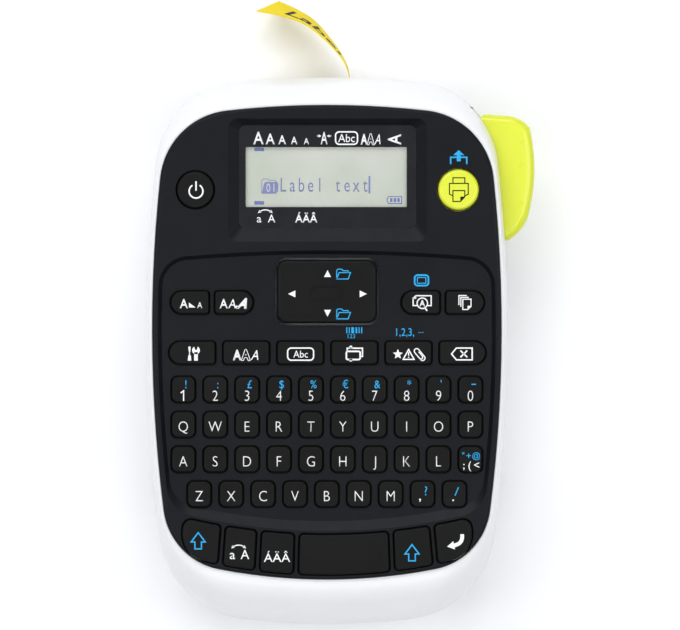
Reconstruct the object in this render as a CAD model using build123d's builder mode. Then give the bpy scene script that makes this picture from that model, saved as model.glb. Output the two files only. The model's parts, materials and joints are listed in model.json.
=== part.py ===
from build123d import *

import os
from math import acos, asin, atan2, cos, degrees, hypot, radians, sin

os.makedirs("parts", exist_ok=True)

# A hand-held label maker lying on its back. Z points out of the face, Y towards the display end.
# The origin is on the flat back, under the centre of the face.

# Casing
WALL = 2.0
BACK_EDGE_RADIUS = 5.5
PARTING_Z = 22.0
RIM_Z = 43.0
SECTION_END_ANGLE = 80.0
RIM_WIDTH = 0.7
LEDGE_BOTTOM = 39.4
LEDGE_WIDTH = 0.6
JACK_Y = -8.0
JACK_Z = 13.0
JACK_BORE = 2.8
SCREW_HEAD_Z = 12.0
PIN_RADIUS = 0.7
PIN_FIT_RADIUS = 1.56
SHANK_RADIUS = 1.4

# Face panel
PANEL_BOTTOM = 41.4
PANEL_TOP = 44.5
DISH_Z = 43.2
WINDOW_TOP = 42.4
WINDOW_CENTRE = (0.2, 50.6)
WINDOW_SIZE = (54.2, 31.4)
RECESS_SIZE = (61.2, 38.1)
RECESS_CENTRE = (0.2, 49.35)

# Keys
KEY_GAP = 0.45
FLANGE_WIDTH = 0.9
FLANGE_BOTTOM = 40.3
FLANGE_TOP = 41.2
KEY_TOP = 44.5
LETTER_TOP = 44.3
RAISED_KEY_TOP = 45.5
LETTER_PITCH = 9.73
LETTER_SIZE = (7.1, 7.8)
ROW_Y = {"number": -14.4, "upper_letter": -25.1, "home_letter": -35.7, "lower_letter": -46.3}
SMALL_KEY_Y = 12.15
FUNCTION_KEY_Y = -3.2
FUNCTION_KEY_WIDTH = 14.0
SMALL_KEY_WIDTH = 11.6
SMALL_KEY_HEIGHT = 6.9
PAD_CENTRE = (0.0, 15.5)
PAD_SIZE = (30.6, 19.4)
PAD_BOTTOM = 40.4
PAD_TOP = 45.2
PAD_PIVOT_Z = 40.6
PIVOT_RADIUS = 0.7
ROUND_KEY_X = 40.1
ROUND_KEY_Y = 46.5

# Electronics
BOARD_BOTTOM = 35.5
BOARD_TOP = 37.1
MAT_TOP = 39.3

# Batteries, side by side along X
CELL_RADIUS = 7.05
CELL_PITCH = 14.3
CELL_Z = 10.2
CELL_BODY = 49.3
NUB_LENGTH = 1.2
BAY_LOW_Y = -72.2
BAY_HIGH_Y = -17.2
BAY_HALF_WIDTH = 43.8
BAY_ROOF = 18.0
HINGE_Y = -70.9
HINGE_Z = 1.4
COVER_TOP_Y = 60.0

# Tape path and its drive
TAPE_X = 6.9
TAPE_Z = 14.0
TAPE_WIDTH = 12.0
CUT_Y = 75.5
CHASSIS_BOTTOM = 26.0
CHASSIS_TOP = 27.5
MODULE = 0.6
PINION_TEETH = 10
LARGE_TEETH = 44
SMALL_TEETH = 16
DRIVEN_TEETH = 32
MOTOR_X = 27.0
MOTOR_Y = 42.0
PLATEN_X = 12.3
PLATEN_Y = 66.5
GEAR_WIDTH = 2.5
LOWER_GEAR_Z = 28.0
UPPER_GEAR_Z = 30.9
SPOOL_GEAR_DIRECTION = 193.2

# Cassette
CASSETTE_LOW = (-43.0, 8.0)
CASSETTE_HIGH = (14.0, 60.0)
CASSETTE_BOTTOM = 2.4
CASSETTE_TOP = 25.4
CASSETTE_WALL = 1.2
ROLL_CENTRE = (-24.0, 34.0)
SUPPLY_CENTRE = (-2.0, 27.0)

# Cutter
LEVER_PIVOT = (50.0, 34.0)
LEVER_BOTTOM = 23.0
LEVER_TOP = 33.0
SLIDE_BOTTOM = 21.0
SLIDE_TOP = 25.7
FINGER_OUTLINE = [
    (46.6, 65.0),
    (45.6, 68.4),
    (43.0, 70.2),
    (38.5, 72.6),
    (36.9, 72.6),
    (36.4, 71.2),
    (38.0, 70.0),
    (43.0, 66.8),
    (45.2, 64.0),
]

CASE_SCREWS = [(-50.4, -45), (50.4, -45), (-50.4, 22), (50.4, 22), (-20, -80.5), (20, -80.5)]


# ---------------------------------------------------------------- outlines


def outline(level, inset, z):
    """The body's rounded outline: level 0 at its widest, level 1 at the rim of the face."""

    def between(widest, rim):
        return widest + level * (rim - widest) - inset

    half_width = between(56.0, 54.1)
    top = between(82.0, 73.2)
    bottom = between(87.5, 73.2)
    top_radius = between(341.0, 273.7)
    bottom_radius = between(224.0, 173.7)
    side_radius = between(468.0, 438.7)
    side_middle = 2.0 + 2.0 * level
    with BuildSketch(Plane.XY.offset(z)) as sketch:
        with Locations((0, top - top_radius)):
            Circle(top_radius)
        with Locations((0, bottom_radius - bottom)):
            Circle(bottom_radius, mode=Mode.INTERSECT)
        with Locations(Location((half_width - side_radius, side_middle), 180)):
            Circle(side_radius, mode=Mode.INTERSECT)
        with Locations((side_radius - half_width, side_middle)):
            Circle(side_radius, mode=Mode.INTERSECT)
        fillet(sketch.vertices().sort_by(Axis.Y)[-2:], between(27.3, 23.8))
        fillet(sketch.vertices().sort_by(Axis.Y)[:2], between(29.6, 21.7))
    return sketch.sketch


def bezel_sections(inset, top_z, count):
    """Sections of the bezel, from the parting line up along a quarter of an ellipse."""
    height = (RIM_Z - PARTING_Z) / sin(radians(SECTION_END_ANGLE))
    end_angle = asin((top_z - PARTING_Z) / height)
    depth = 1 - cos(radians(SECTION_END_ANGLE))
    sections = []
    for step in range(count):
        angle = end_angle * step / (count - 1)
        level = (1 - cos(angle)) / depth
        sections.append(outline(level, inset, PARTING_Z + height * sin(angle)))
    return sections


def rounded_rectangle(size, centre, radius, z):
    with BuildSketch(Plane.XY.offset(z)) as sketch:
        with Locations(centre):
            RectangleRounded(size[0], size[1], radius)
    return sketch.sketch


def dish_outline(grow, z):
    """The sunken keypad area; grow widens it towards its rim."""
    with BuildSketch(Plane.XY.offset(z)) as sketch:
        with Locations((0, 26.9 + grow - 520)):
            Circle(520)
        with Locations((0, 187 - 54.6 - 2.6 * grow)):
            Circle(187, mode=Mode.INTERSECT)
        with Locations(Location((50.4 + grow - 438, 4), 180)):
            Circle(438, mode=Mode.INTERSECT)
        with Locations((438 - 50.4 - grow, 4)):
            Circle(438, mode=Mode.INTERSECT)
        fillet(sketch.vertices().sort_by(Axis.Y)[-2:], 8 + grow)
        fillet(sketch.vertices().sort_by(Axis.Y)[:2], 9 + grow)
    return sketch.sketch


# ---------------------------------------------------------------- key shapes


def end_rounded(x, width, round_end):
    """A small key with one full-round end: -1 left, 1 right, 0 none."""
    height = SMALL_KEY_HEIGHT
    y = SMALL_KEY_Y if width == SMALL_KEY_WIDTH else FUNCTION_KEY_Y
    with BuildSketch() as sketch:
        with Locations((x, y)):
            Rectangle(width, height)
        left = sketch.vertices().group_by(Axis.X)[0]
        round_radius = height / 2 - 0.05
        fillet(left, round_radius if round_end < 0 else 1.0)
        right = sketch.vertices().group_by(Axis.X)[-1]
        fillet(right, round_radius if round_end > 0 else 1.0)
    return sketch.sketch


def arc_row_key(corners, radii):
    """A key of the curved bottom row: corners clockwise from the top left, and their radii."""
    with BuildSketch() as sketch:
        Polygon(*corners, align=None)
        with Locations((0, 168 - 70.8)):
            Circle(168, mode=Mode.INTERSECT)
        with Locations((0, 187 - 58.6)):
            Circle(187, mode=Mode.SUBTRACT)
        upper = sketch.vertices().sort_by(Axis.X)
        left_pair = upper[:2].sort_by(Axis.Y)
        right_pair = upper[-2:].sort_by(Axis.Y)
        fillet(left_pair[1], radii[0])
        fillet(sketch.vertices().sort_by_distance(right_pair[1].center())[0], radii[1])
        fillet(sketch.vertices().sort_by_distance(right_pair[0].center())[0], radii[2])
        fillet(sketch.vertices().sort_by_distance(left_pair[0].center())[0], radii[3])
    return sketch.sketch


def divider(upper, lower, side):
    """Edge of a bottom-row key beside a divider, as its upper and lower end."""
    slope = (upper - lower) / 13
    middle = upper + side * 0.85
    return (middle + slope * 7.5, -50), (middle - slope * 16.5, -74)


def bottom_row():
    """The six keys of the curved bottom row."""
    dividers = [(-31.7, -32.7), (-20.65, -21.3), (-9.1, -9.45), (19.5, 20.0), (32.1, 33.3)]
    names = ["left_shift", "case", "accent", "space", "right_shift", "enter"]
    keys = {}
    for index, name in enumerate(names):
        small = 1.2
        radii = [small, small, small, small]
        if index == 0:
            left_upper, left_lower = (-42.9, -50), (-46.6, -74)
            radii = [2.5, small, small, 8.5]
        else:
            left_upper, left_lower = divider(*dividers[index - 1], 1)
        if index == 5:
            right_upper, right_lower = (43.1, -50), (46.8, -74)
            radii = [small, 2.5, 8.5, small]
        else:
            right_upper, right_lower = divider(*dividers[index], -1)
        corners = [left_upper, right_upper, right_lower, left_lower]
        keys[f"{name}_key"] = arc_row_key(corners, radii)
    return keys


def round_key(x, radius):
    with BuildSketch() as sketch:
        with Locations((x, ROUND_KEY_Y)):
            Circle(radius)
    return sketch.sketch


def letter_row(y, count):
    with BuildSketch() as sketch:
        with Locations((0, y)):
            with GridLocations(LETTER_PITCH, 1, count, 1):
                RectangleRounded(LETTER_SIZE[0], LETTER_SIZE[1], 1.8)
    return sketch.sketch


FLANGE_LIMIT = outline(1, RIM_WIDTH + LEDGE_WIDTH + 0.2, 0)
SMALL_KEYS = {
    "size_key": end_rounded(-41.8, SMALL_KEY_WIDTH, -1),
    "font_key": end_rounded(-28.35, SMALL_KEY_WIDTH, 1),
    "preview_key": end_rounded(28.6, SMALL_KEY_WIDTH, -1),
    "copies_key": end_rounded(42.1, SMALL_KEY_WIDTH, 1),
    "settings_key": end_rounded(-41.1, FUNCTION_KEY_WIDTH, -1),
    "style_key": end_rounded(-24.6, FUNCTION_KEY_WIDTH, 0),
    "frame_key": end_rounded(-8.1, FUNCTION_KEY_WIDTH, 0),
    "layout_key": end_rounded(8.4, FUNCTION_KEY_WIDTH, 0),
    "symbol_key": end_rounded(24.9, FUNCTION_KEY_WIDTH, 0),
    "delete_key": end_rounded(41.4, FUNCTION_KEY_WIDTH, 1),
}
LETTER_KEYS = {
    "number_keys": letter_row(ROW_Y["number"], 10),
    "upper_letter_keys": letter_row(ROW_Y["upper_letter"], 10),
    "home_letter_keys": letter_row(ROW_Y["home_letter"], 10),
    "lower_letter_keys": letter_row(ROW_Y["lower_letter"], 9),
}
BOTTOM_KEYS = bottom_row()
POWER_KEY = round_key(-ROUND_KEY_X, 5.6)
PRINT_KEY = round_key(ROUND_KEY_X, 6.2)


def key(shape, top, edge, flange=FLANGE_WIDTH):
    """A key cap with the flange that keeps it under the panel; edge is its top rounding."""
    with BuildPart() as cap:
        with BuildSketch(Plane.XY.offset(FLANGE_BOTTOM)):
            for face in shape.faces():
                add(face)
                offset(face, amount=flange, mode=Mode.ADD)
            add(FLANGE_LIMIT, mode=Mode.INTERSECT)
        extrude(amount=FLANGE_TOP - FLANGE_BOTTOM)
        with BuildSketch(Plane.XY.offset(FLANGE_TOP)):
            add(shape)
        extrude(amount=top - FLANGE_TOP)
        fillet(cap.edges().group_by(Axis.Z)[-1], edge)
    return cap.part


# ---------------------------------------------------------------- shared shapes


def save(name, part):
    """Label a finished piece and write it as its own file."""
    part.label = name
    export_step(part, f"parts/{name}.step")


def tub(inset, bottom, top, edge_radius):
    """The solid inside the widest outline, with its lower edge rounded."""
    with BuildPart() as solid:
        with BuildSketch(Plane.XY.offset(bottom)):
            add(outline(0, inset, 0))
        extrude(amount=top - bottom)
        fillet(solid.edges().group_by(Axis.Z)[0], edge_radius)
    return solid.part


def block(low, high, mode=Mode.ADD):
    """A box between two corners."""
    size = [high[i] - low[i] for i in range(3)]
    centre = tuple((high[i] + low[i]) / 2 for i in range(3))
    with Locations(centre):
        Box(*size, mode=mode)


def post(x, y, radius, low, high, mode=Mode.ADD):
    """An upright cylinder between two heights."""
    with Locations((x, y, (low + high) / 2)):
        Cylinder(radius, high - low, mode=mode)


# ---------------------------------------------------------------- casing

BOSS_LOW = (LEVER_PIVOT[0] - 3, LEVER_PIVOT[1] - 3)
BOSS_HIGH = (54.5, LEVER_PIVOT[1] + 3)
WALL_POSTS = [place for place in CASE_SCREWS if abs(place[0]) > 40]

# White back half: walls, screw posts, battery bay, lever boss, tape outlet and jack hole
with BuildPart() as back_wall:
    add(tub(0, 0, PARTING_Z, BACK_EDGE_RADIUS))
    add(tub(WALL, WALL, PARTING_Z, BACK_EDGE_RADIUS - WALL), mode=Mode.SUBTRACT)

with BuildPart() as rear_shell:
    for side in (-1, 1):
        near, far = sorted([side * (BAY_HALF_WIDTH + 0.4), side * (BAY_HALF_WIDTH + 1.9)])
        block((near, -73.8, 1.0), (far, COVER_TOP_Y, BAY_ROOF))
    block((-45, -73.8, 1.0), (45, -72.3, BAY_ROOF))
    block((-45, -16.9, 2.3), (45, -15.4, BAY_ROOF))
    block((16.0, -16, 2.3), (45, COVER_TOP_Y + 1, 3.8))
    block((15.0, -16, 2.3), (16.5, COVER_TOP_Y + 1, BAY_ROOF))
    for x, y in CASE_SCREWS:
        post(x, y, 3.4, 1.0, PARTING_Z)
    for x, y in WALL_POSTS:
        near, far = sorted([x, x * 1.09])
        block((near, y - 1, 6), (far, y + 1, PARTING_Z))
    block((*BOSS_LOW, 18.0), (*BOSS_HIGH, PARTING_Z))
    add(tub(1, 1, PARTING_Z, BACK_EDGE_RADIUS - 1), mode=Mode.INTERSECT)
    add(back_wall.part)
    cover_low = (-BAY_HALF_WIDTH, HINGE_Y - HINGE_Z - 0.3, -1)
    block(cover_low, (BAY_HALF_WIDTH, COVER_TOP_Y + 0.4, WALL + 0.29), Mode.SUBTRACT)
    with Locations(Location((0, HINGE_Y, HINGE_Z), (0, 90, 0))):
        Cylinder(HINGE_Z + 0.3, 2 * BAY_HALF_WIDTH, mode=Mode.SUBTRACT)
        Cylinder(PIN_RADIUS + 0.08, 2 * BAY_HALF_WIDTH + 3.2, mode=Mode.SUBTRACT)
    for x, y in CASE_SCREWS:
        post(x, y, 2.7, -1, SCREW_HEAD_Z, Mode.SUBTRACT)
        post(x, y, SHANK_RADIUS + 0.1, SCREW_HEAD_Z, PARTING_Z + 1, Mode.SUBTRACT)
    post(*LEVER_PIVOT, PIN_FIT_RADIUS, 19.5, PARTING_Z + 1, Mode.SUBTRACT)
    block((TAPE_X - 1.2, 78, 7.2), (TAPE_X + 1.2, 84, 20.8), Mode.SUBTRACT)
    with Locations(Location((-55, JACK_Y, JACK_Z), (0, 90, 0))):
        Cylinder(JACK_BORE + 0.5, 4, mode=Mode.SUBTRACT)
save("rear_shell", rear_shell.part)

# White front half: the bezel round the face, with a pocket and ledge for the black panel
with BuildPart() as bezel:
    loft(bezel_sections(0, RIM_Z, 7))
    loft(bezel_sections(WALL, LEDGE_BOTTOM, 6), mode=Mode.SUBTRACT)

with BuildPart() as bezel_core:
    loft(bezel_sections(1, 40, 6))

with BuildPart() as front_frame:
    for x, y in WALL_POSTS:
        near, far = sorted([x, x * 1.09])
        post(x, y, 3.2, PARTING_Z, 34)
        block((near, y - 1, PARTING_Z), (far, y + 1, 34))
    for x, y in CASE_SCREWS[4:]:
        post(x, y, 3.2, PARTING_Z, 38)
    block((*BOSS_LOW, LEVER_TOP + 0.4), (*BOSS_HIGH, LEVER_TOP + 3))
    add(bezel_core.part, mode=Mode.INTERSECT)
    add(bezel.part)
    for x, y in CASE_SCREWS:
        post(x, y, SHANK_RADIUS + 0.02, PARTING_Z - 1, 32.2, Mode.SUBTRACT)
    with BuildSketch(Plane.XY.offset(LEDGE_BOTTOM - 1)):
        add(outline(1, RIM_WIDTH + LEDGE_WIDTH, 0))
    extrude(amount=10, mode=Mode.SUBTRACT)
    with BuildSketch(Plane.XY.offset(PANEL_BOTTOM)):
        add(outline(1, RIM_WIDTH, 0))
    extrude(amount=10, mode=Mode.SUBTRACT)
    post(*LEVER_PIVOT, PIN_FIT_RADIUS, LEVER_TOP, LEVER_TOP + 2.1, Mode.SUBTRACT)
    block((43, 30.6, LEVER_BOTTOM - 0.5), (60, 72.5, LEVER_TOP + 0.39), Mode.SUBTRACT)
save("front_frame", front_frame.part)

# Black face: display recess, sunken keypad and an opening for every key
with BuildPart() as face_panel:
    with BuildSketch(Plane.XY.offset(PANEL_BOTTOM)):
        add(outline(1, RIM_WIDTH + 0.1, 0))
    extrude(amount=PANEL_TOP - PANEL_BOTTOM)
    fillet(face_panel.edges().group_by(Axis.Z)[-1], 1.0)
    loft([dish_outline(0, DISH_Z), dish_outline(1.3, PANEL_TOP + 0.2)], mode=Mode.SUBTRACT)
    recess_floor = rounded_rectangle(WINDOW_SIZE, WINDOW_CENTRE, 2.0, WINDOW_TOP)
    recess_rim = rounded_rectangle(RECESS_SIZE, RECESS_CENTRE, 3.0, PANEL_TOP + 0.2)
    loft([recess_floor, recess_rim], mode=Mode.SUBTRACT)
    with BuildSketch(Plane.XY.offset(PANEL_BOTTOM)):
        add(rounded_rectangle((WINDOW_SIZE[0] + 0.1, WINDOW_SIZE[1] + 0.1), WINDOW_CENTRE, 2, 0))
    extrude(amount=WINDOW_TOP - PANEL_BOTTOM + 0.1, mode=Mode.SUBTRACT)
    with BuildSketch(Plane.XY.offset(PANEL_BOTTOM)):
        key_shapes = {**SMALL_KEYS, **LETTER_KEYS, **BOTTOM_KEYS}
        for shape in [*key_shapes.values(), POWER_KEY, PRINT_KEY]:
            for face in shape.faces():
                add(face)
                offset(face, amount=KEY_GAP, mode=Mode.ADD)
        with Locations(PAD_CENTRE):
            RectangleRounded(PAD_SIZE[0] + 1.2, PAD_SIZE[1] + 1.2, 3.6)
    extrude(amount=5, mode=Mode.SUBTRACT)
save("face_panel", face_panel.part)

# Battery and cassette cover, hinged at its lower end on two stub pins
with BuildPart() as compartment_cover:
    cover_half_width = BAY_HALF_WIDTH - 0.3
    block((-cover_half_width, HINGE_Y, 0), (cover_half_width, COVER_TOP_Y, WALL))
    fillet(compartment_cover.edges().filter_by(Axis.Z).group_by(Axis.Y)[-1], 3)
    with Locations(Location((0, HINGE_Y, HINGE_Z), (0, 90, 0))):
        Cylinder(HINGE_Z, 2 * cover_half_width)
        Cylinder(PIN_RADIUS, 2 * BAY_HALF_WIDTH + 2.8)
    with Locations((0, COVER_TOP_Y - 7, 0)):
        with GridLocations(1, 2.2, 1, 4):
            Box(18, 0.9, 1.0, mode=Mode.SUBTRACT)
save("compartment_cover", compartment_cover.part)

# Case screws, driven from the back
with BuildPart() as case_screws:
    for x, y in CASE_SCREWS:
        post(x, y, 2.4, SCREW_HEAD_Z - 2, SCREW_HEAD_Z)
        post(x, y, SHANK_RADIUS, SCREW_HEAD_Z, 32)
        with Locations((x, y, SCREW_HEAD_Z - 2)):
            Box(2.6, 0.6, 1.6, mode=Mode.SUBTRACT)
            Box(0.6, 2.6, 1.6, mode=Mode.SUBTRACT)
save("case_screws", case_screws.part)

# Power inlet on the left side
with BuildPart() as dc_jack:
    block((-53.6, JACK_Y - 5, JACK_Z - 5), (-46.0, JACK_Y + 5, JACK_Z + 5))
    with Locations(Location((-50.6, JACK_Y, JACK_Z), (0, 90, 0))):
        Cylinder(JACK_BORE, 7, mode=Mode.SUBTRACT)
save("dc_jack", dc_jack.part)

# ---------------------------------------------------------------- display and keypad

with BuildPart() as display_window:
    with BuildSketch(Plane.XY.offset(PANEL_BOTTOM)):
        add(rounded_rectangle(WINDOW_SIZE, WINDOW_CENTRE, 2.0, 0))
    extrude(amount=WINDOW_TOP - PANEL_BOTTOM)
save("display_window", display_window.part)

with BuildPart() as lcd_module:
    block((-28, 34, BOARD_TOP), (28.4, 67, PANEL_BOTTOM - 1))
    block((-26, 39.5, PANEL_BOTTOM - 1), (25.6, 61.5, PANEL_BOTTOM))
    fillet(lcd_module.edges().group_by(Axis.Z)[-1], 0.4)
save("lcd_module", lcd_module.part)

with BuildPart() as main_board:
    with BuildSketch(Plane.XY.offset(BOARD_BOTTOM)):
        add(outline(1, 5.0, 0))
        with Locations((47, 51)):
            Rectangle(16, 50, mode=Mode.SUBTRACT)
    extrude(amount=BOARD_TOP - BOARD_BOTTOM)
    with Locations((-18, -40, BOARD_BOTTOM - 0.8), (10, -34, BOARD_BOTTOM - 0.8)):
        Box(12, 12, 1.6)
    with Locations((0, -62, BOARD_BOTTOM - 1.5)):
        with GridLocations(16, 1, 4, 1):
            Cylinder(2.5, 3)
save("main_board", main_board.part)

# Rubber mat under the keys, with two ears for the pad's cross pin
with BuildPart() as keypad_mat:
    with BuildSketch(Plane.XY.offset(BOARD_TOP)):
        add(outline(1, 3.4, 0))
        with Locations((0.2, 55)):
            Rectangle(57.6, 50, mode=Mode.SUBTRACT)
    extrude(amount=MAT_TOP - BOARD_TOP)
    with Locations((PAD_CENTRE[0] - 3.9, PAD_CENTRE[1]), (PAD_CENTRE[0] + 3.9, PAD_CENTRE[1])):
        with Locations((0, 0, (MAT_TOP + 41.6) / 2)):
            Box(1.4, 2.6, 41.6 - MAT_TOP)
    with Locations(Location((*PAD_CENTRE, PAD_PIVOT_Z), (0, 90, 0))):
        Cylinder(PIVOT_RADIUS + 0.08, 12, mode=Mode.SUBTRACT)
save("keypad_mat", keypad_mat.part)

with BuildPart() as nav_pivot:
    with Locations(Location((*PAD_CENTRE, PAD_PIVOT_Z), (0, 90, 0))):
        Cylinder(PIVOT_RADIUS, 9.6)
    with Locations(Location((*PAD_CENTRE, PAD_PIVOT_Z), (90, 0, 0))):
        Cylinder(PIVOT_RADIUS, 9.6)
save("nav_pivot", nav_pivot.part)

# Four-way pad with a shallow groove, a hollow underside and two ears on the cross pin
with BuildPart() as navigation_pad:
    with BuildSketch(Plane.XY.offset(PAD_BOTTOM)):
        with Locations(PAD_CENTRE):
            RectangleRounded(*PAD_SIZE, 3.0)
    extrude(amount=PAD_TOP - PAD_BOTTOM)
    fillet(navigation_pad.edges().group_by(Axis.Z)[-1], 1.2)
    with BuildSketch(Plane.XY.offset(PAD_TOP - 0.5)):
        with Locations((PAD_CENTRE[0], PAD_CENTRE[1] - 0.6)):
            SlotOverall(10.4, 4.5)
    extrude(amount=1, mode=Mode.SUBTRACT)
    with BuildSketch(Plane.XY.offset(PAD_BOTTOM)):
        with Locations(PAD_CENTRE):
            RectangleRounded(PAD_SIZE[0] - 2.4, PAD_SIZE[1] - 2.4, 2.0)
    extrude(amount=2.2, mode=Mode.SUBTRACT)
    for side in (-1, 1):
        with Locations((PAD_CENTRE[0], PAD_CENTRE[1] + side * 3.9, (39.7 + 43) / 2)):
            Box(2.6, 1.4, 43 - 39.7)
    with Locations(Location((*PAD_CENTRE, PAD_PIVOT_Z), (90, 0, 0))):
        Cylinder(PIVOT_RADIUS + 0.08, 12, mode=Mode.SUBTRACT)
save("navigation_pad", navigation_pad.part)

# Key caps
for name, shape in SMALL_KEYS.items():
    save(name, key(shape, KEY_TOP, 0.6))
for name, shape in LETTER_KEYS.items():
    save(name, key(shape, LETTER_TOP, 0.6))
for name, shape in BOTTOM_KEYS.items():
    save(name, key(shape, RAISED_KEY_TOP, 0.7, 0.6))
save("power_key", key(POWER_KEY, PANEL_TOP + 0.8, 0.7))
save("print_key", key(PRINT_KEY, PANEL_TOP + 1.4, 1.1))

# ---------------------------------------------------------------- chassis and drive

reduction_distance = MODULE * (PINION_TEETH + LARGE_TEETH) / 2
driven_distance = MODULE * (SMALL_TEETH + DRIVEN_TEETH) / 2
motor_to_platen = hypot(PLATEN_X - MOTOR_X, PLATEN_Y - MOTOR_Y)
platen_bearing = degrees(atan2(PLATEN_Y - MOTOR_Y, PLATEN_X - MOTOR_X))
spread = (reduction_distance**2 + motor_to_platen**2 - driven_distance**2) / 2
spread = degrees(acos(spread / (reduction_distance * motor_to_platen)))
reduction_bearing = platen_bearing + spread
REDUCTION_X = MOTOR_X + reduction_distance * cos(radians(reduction_bearing))
REDUCTION_Y = MOTOR_Y + reduction_distance * sin(radians(reduction_bearing))
SPOOL_X = REDUCTION_X + driven_distance * cos(radians(SPOOL_GEAR_DIRECTION))
SPOOL_Y = REDUCTION_Y + driven_distance * sin(radians(SPOOL_GEAR_DIRECTION))


def gear(teeth, centre, base, phase):
    """A spur gear with straight-sided teeth; phase is the bearing of one tooth."""
    pitch_radius = MODULE * teeth / 2
    root_radius = pitch_radius - 1.2 * MODULE
    tip_radius = pitch_radius + 0.85 * MODULE
    profile = [
        (root_radius - 0.3, -0.5),
        (pitch_radius, -0.38),
        (tip_radius, -0.17),
        (tip_radius, 0.17),
        (pitch_radius, 0.38),
        (root_radius - 0.3, 0.5),
    ]
    with BuildPart() as wheel:
        with BuildSketch(Plane.XY.offset(base)):
            with Locations(centre):
                Circle(root_radius)
                with PolarLocations(0, teeth, start_angle=phase):
                    Polygon(*profile, align=None)
        extrude(amount=GEAR_WIDTH)
    return wheel.part


def meshed_phase(phase, teeth, bearing, other_teeth):
    """Phase that puts another gear's gap where this gear's tooth points along the bearing."""
    place = (bearing - phase) * teeth / 360
    return bearing + 180 - (0.5 - place) * 360 / other_teeth


platen_phase = 0.0
to_reduction = degrees(atan2(REDUCTION_Y - PLATEN_Y, REDUCTION_X - PLATEN_X))
small_phase = meshed_phase(platen_phase, DRIVEN_TEETH, to_reduction, SMALL_TEETH)
spool_phase = meshed_phase(small_phase, SMALL_TEETH, SPOOL_GEAR_DIRECTION, DRIVEN_TEETH)
pinion_phase = meshed_phase(0.0, LARGE_TEETH, reduction_bearing + 180, PINION_TEETH)

# Plate that carries the drive, stepped down over the batteries
with BuildPart() as inner_chassis:
    with BuildSketch(Plane.XY.offset(CHASSIS_BOTTOM)):
        add(outline(0, 4.6, 0))
        with Locations((0, -60)):
            Rectangle(120, 85, mode=Mode.SUBTRACT)
        with Locations((50, 54)):
            Rectangle(25, 60, mode=Mode.SUBTRACT)
        for x, y in WALL_POSTS:
            with Locations((x, y)):
                Rectangle(9, 9, mode=Mode.SUBTRACT)
    extrude(amount=CHASSIS_TOP - CHASSIS_BOTTOM)
    block((-43.6, BAY_LOW_Y, BAY_ROOF), (43.6, BAY_HIGH_Y, BAY_ROOF + 1.5))
    block((-43.6, BAY_HIGH_Y - 1.5, BAY_ROOF), (43.6, BAY_HIGH_Y + 0.1, CHASSIS_TOP))
    block((-43.6, BAY_HIGH_Y - 1.5, CHASSIS_BOTTOM), (43.6, -15, CHASSIS_TOP))
    block((18.2, 63, 2.6), (20.0, 70, CHASSIS_BOTTOM))
    block((8.8, 63, 2.6), (20.0, 70, 4.6))
    block((17.0, 75.6, SLIDE_BOTTOM), (33.0, 76.8, CHASSIS_BOTTOM))
    block((20.0, 72.4, SLIDE_BOTTOM + 1.2), (21.4, 74.8, CHASSIS_BOTTOM))
    post(MOTOR_X, MOTOR_Y, 4.1, 20, 30, Mode.SUBTRACT)
    post(PLATEN_X, PLATEN_Y, PIN_FIT_RADIUS, 2, 30, Mode.SUBTRACT)
    post(SPOOL_X, SPOOL_Y, 2.05, 20, 30, Mode.SUBTRACT)
    post(REDUCTION_X, REDUCTION_Y, 1.5, 20, 30, Mode.SUBTRACT)
save("inner_chassis", inner_chassis.part)

with BuildPart() as drive_motor:
    post(MOTOR_X, MOTOR_Y, 10, 5.5, CHASSIS_BOTTOM)
    fillet(drive_motor.edges(), 0.8)
    post(MOTOR_X, MOTOR_Y, 4.0, CHASSIS_BOTTOM, CHASSIS_TOP)
    post(MOTOR_X, MOTOR_Y, 1.0, CHASSIS_TOP, UPPER_GEAR_Z + GEAR_WIDTH)
save("drive_motor", drive_motor.part)

with BuildPart() as motor_pinion:
    add(gear(PINION_TEETH, (MOTOR_X, MOTOR_Y), UPPER_GEAR_Z, pinion_phase))
    post(MOTOR_X, MOTOR_Y, 1.05, 25, 36, Mode.SUBTRACT)
save("motor_pinion", motor_pinion.part)

with BuildPart() as reduction_axle:
    post(REDUCTION_X, REDUCTION_Y, 1.5, CHASSIS_BOTTOM, 34.2)
save("reduction_axle", reduction_axle.part)

with BuildPart() as reduction_gear:
    add(gear(SMALL_TEETH, (REDUCTION_X, REDUCTION_Y), LOWER_GEAR_Z, small_phase))
    post(REDUCTION_X, REDUCTION_Y, 3.5, LOWER_GEAR_Z, UPPER_GEAR_Z)
    add(gear(LARGE_TEETH, (REDUCTION_X, REDUCTION_Y), UPPER_GEAR_Z, 0.0))
    post(REDUCTION_X, REDUCTION_Y, PIN_FIT_RADIUS, 25, 36, Mode.SUBTRACT)
save("reduction_gear", reduction_gear.part)

with BuildPart() as platen_gear:
    add(gear(DRIVEN_TEETH, (PLATEN_X, PLATEN_Y), LOWER_GEAR_Z, platen_phase))
    post(PLATEN_X, PLATEN_Y, 1.5, 25, 36, Mode.SUBTRACT)
save("platen_gear", platen_gear.part)

with BuildPart() as platen_shaft:
    post(PLATEN_X, PLATEN_Y, 1.5, 2.4, LOWER_GEAR_Z + GEAR_WIDTH)
save("platen_shaft", platen_shaft.part)

with BuildPart() as platen_roller:
    post(PLATEN_X, PLATEN_Y, 5.0, 5.2, 23.5)
    post(PLATEN_X, PLATEN_Y, 1.5, 5, 24, Mode.SUBTRACT)
save("platen_roller", platen_roller.part)

# Take-up gear with the spindle that reaches down into the cassette's spool
with BuildPart() as takeup_gear:
    add(gear(DRIVEN_TEETH, (SPOOL_X, SPOOL_Y), LOWER_GEAR_Z, spool_phase))
    post(SPOOL_X, SPOOL_Y, 1.95, 9, LOWER_GEAR_Z + 0.5)
save("takeup_gear", takeup_gear.part)

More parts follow.
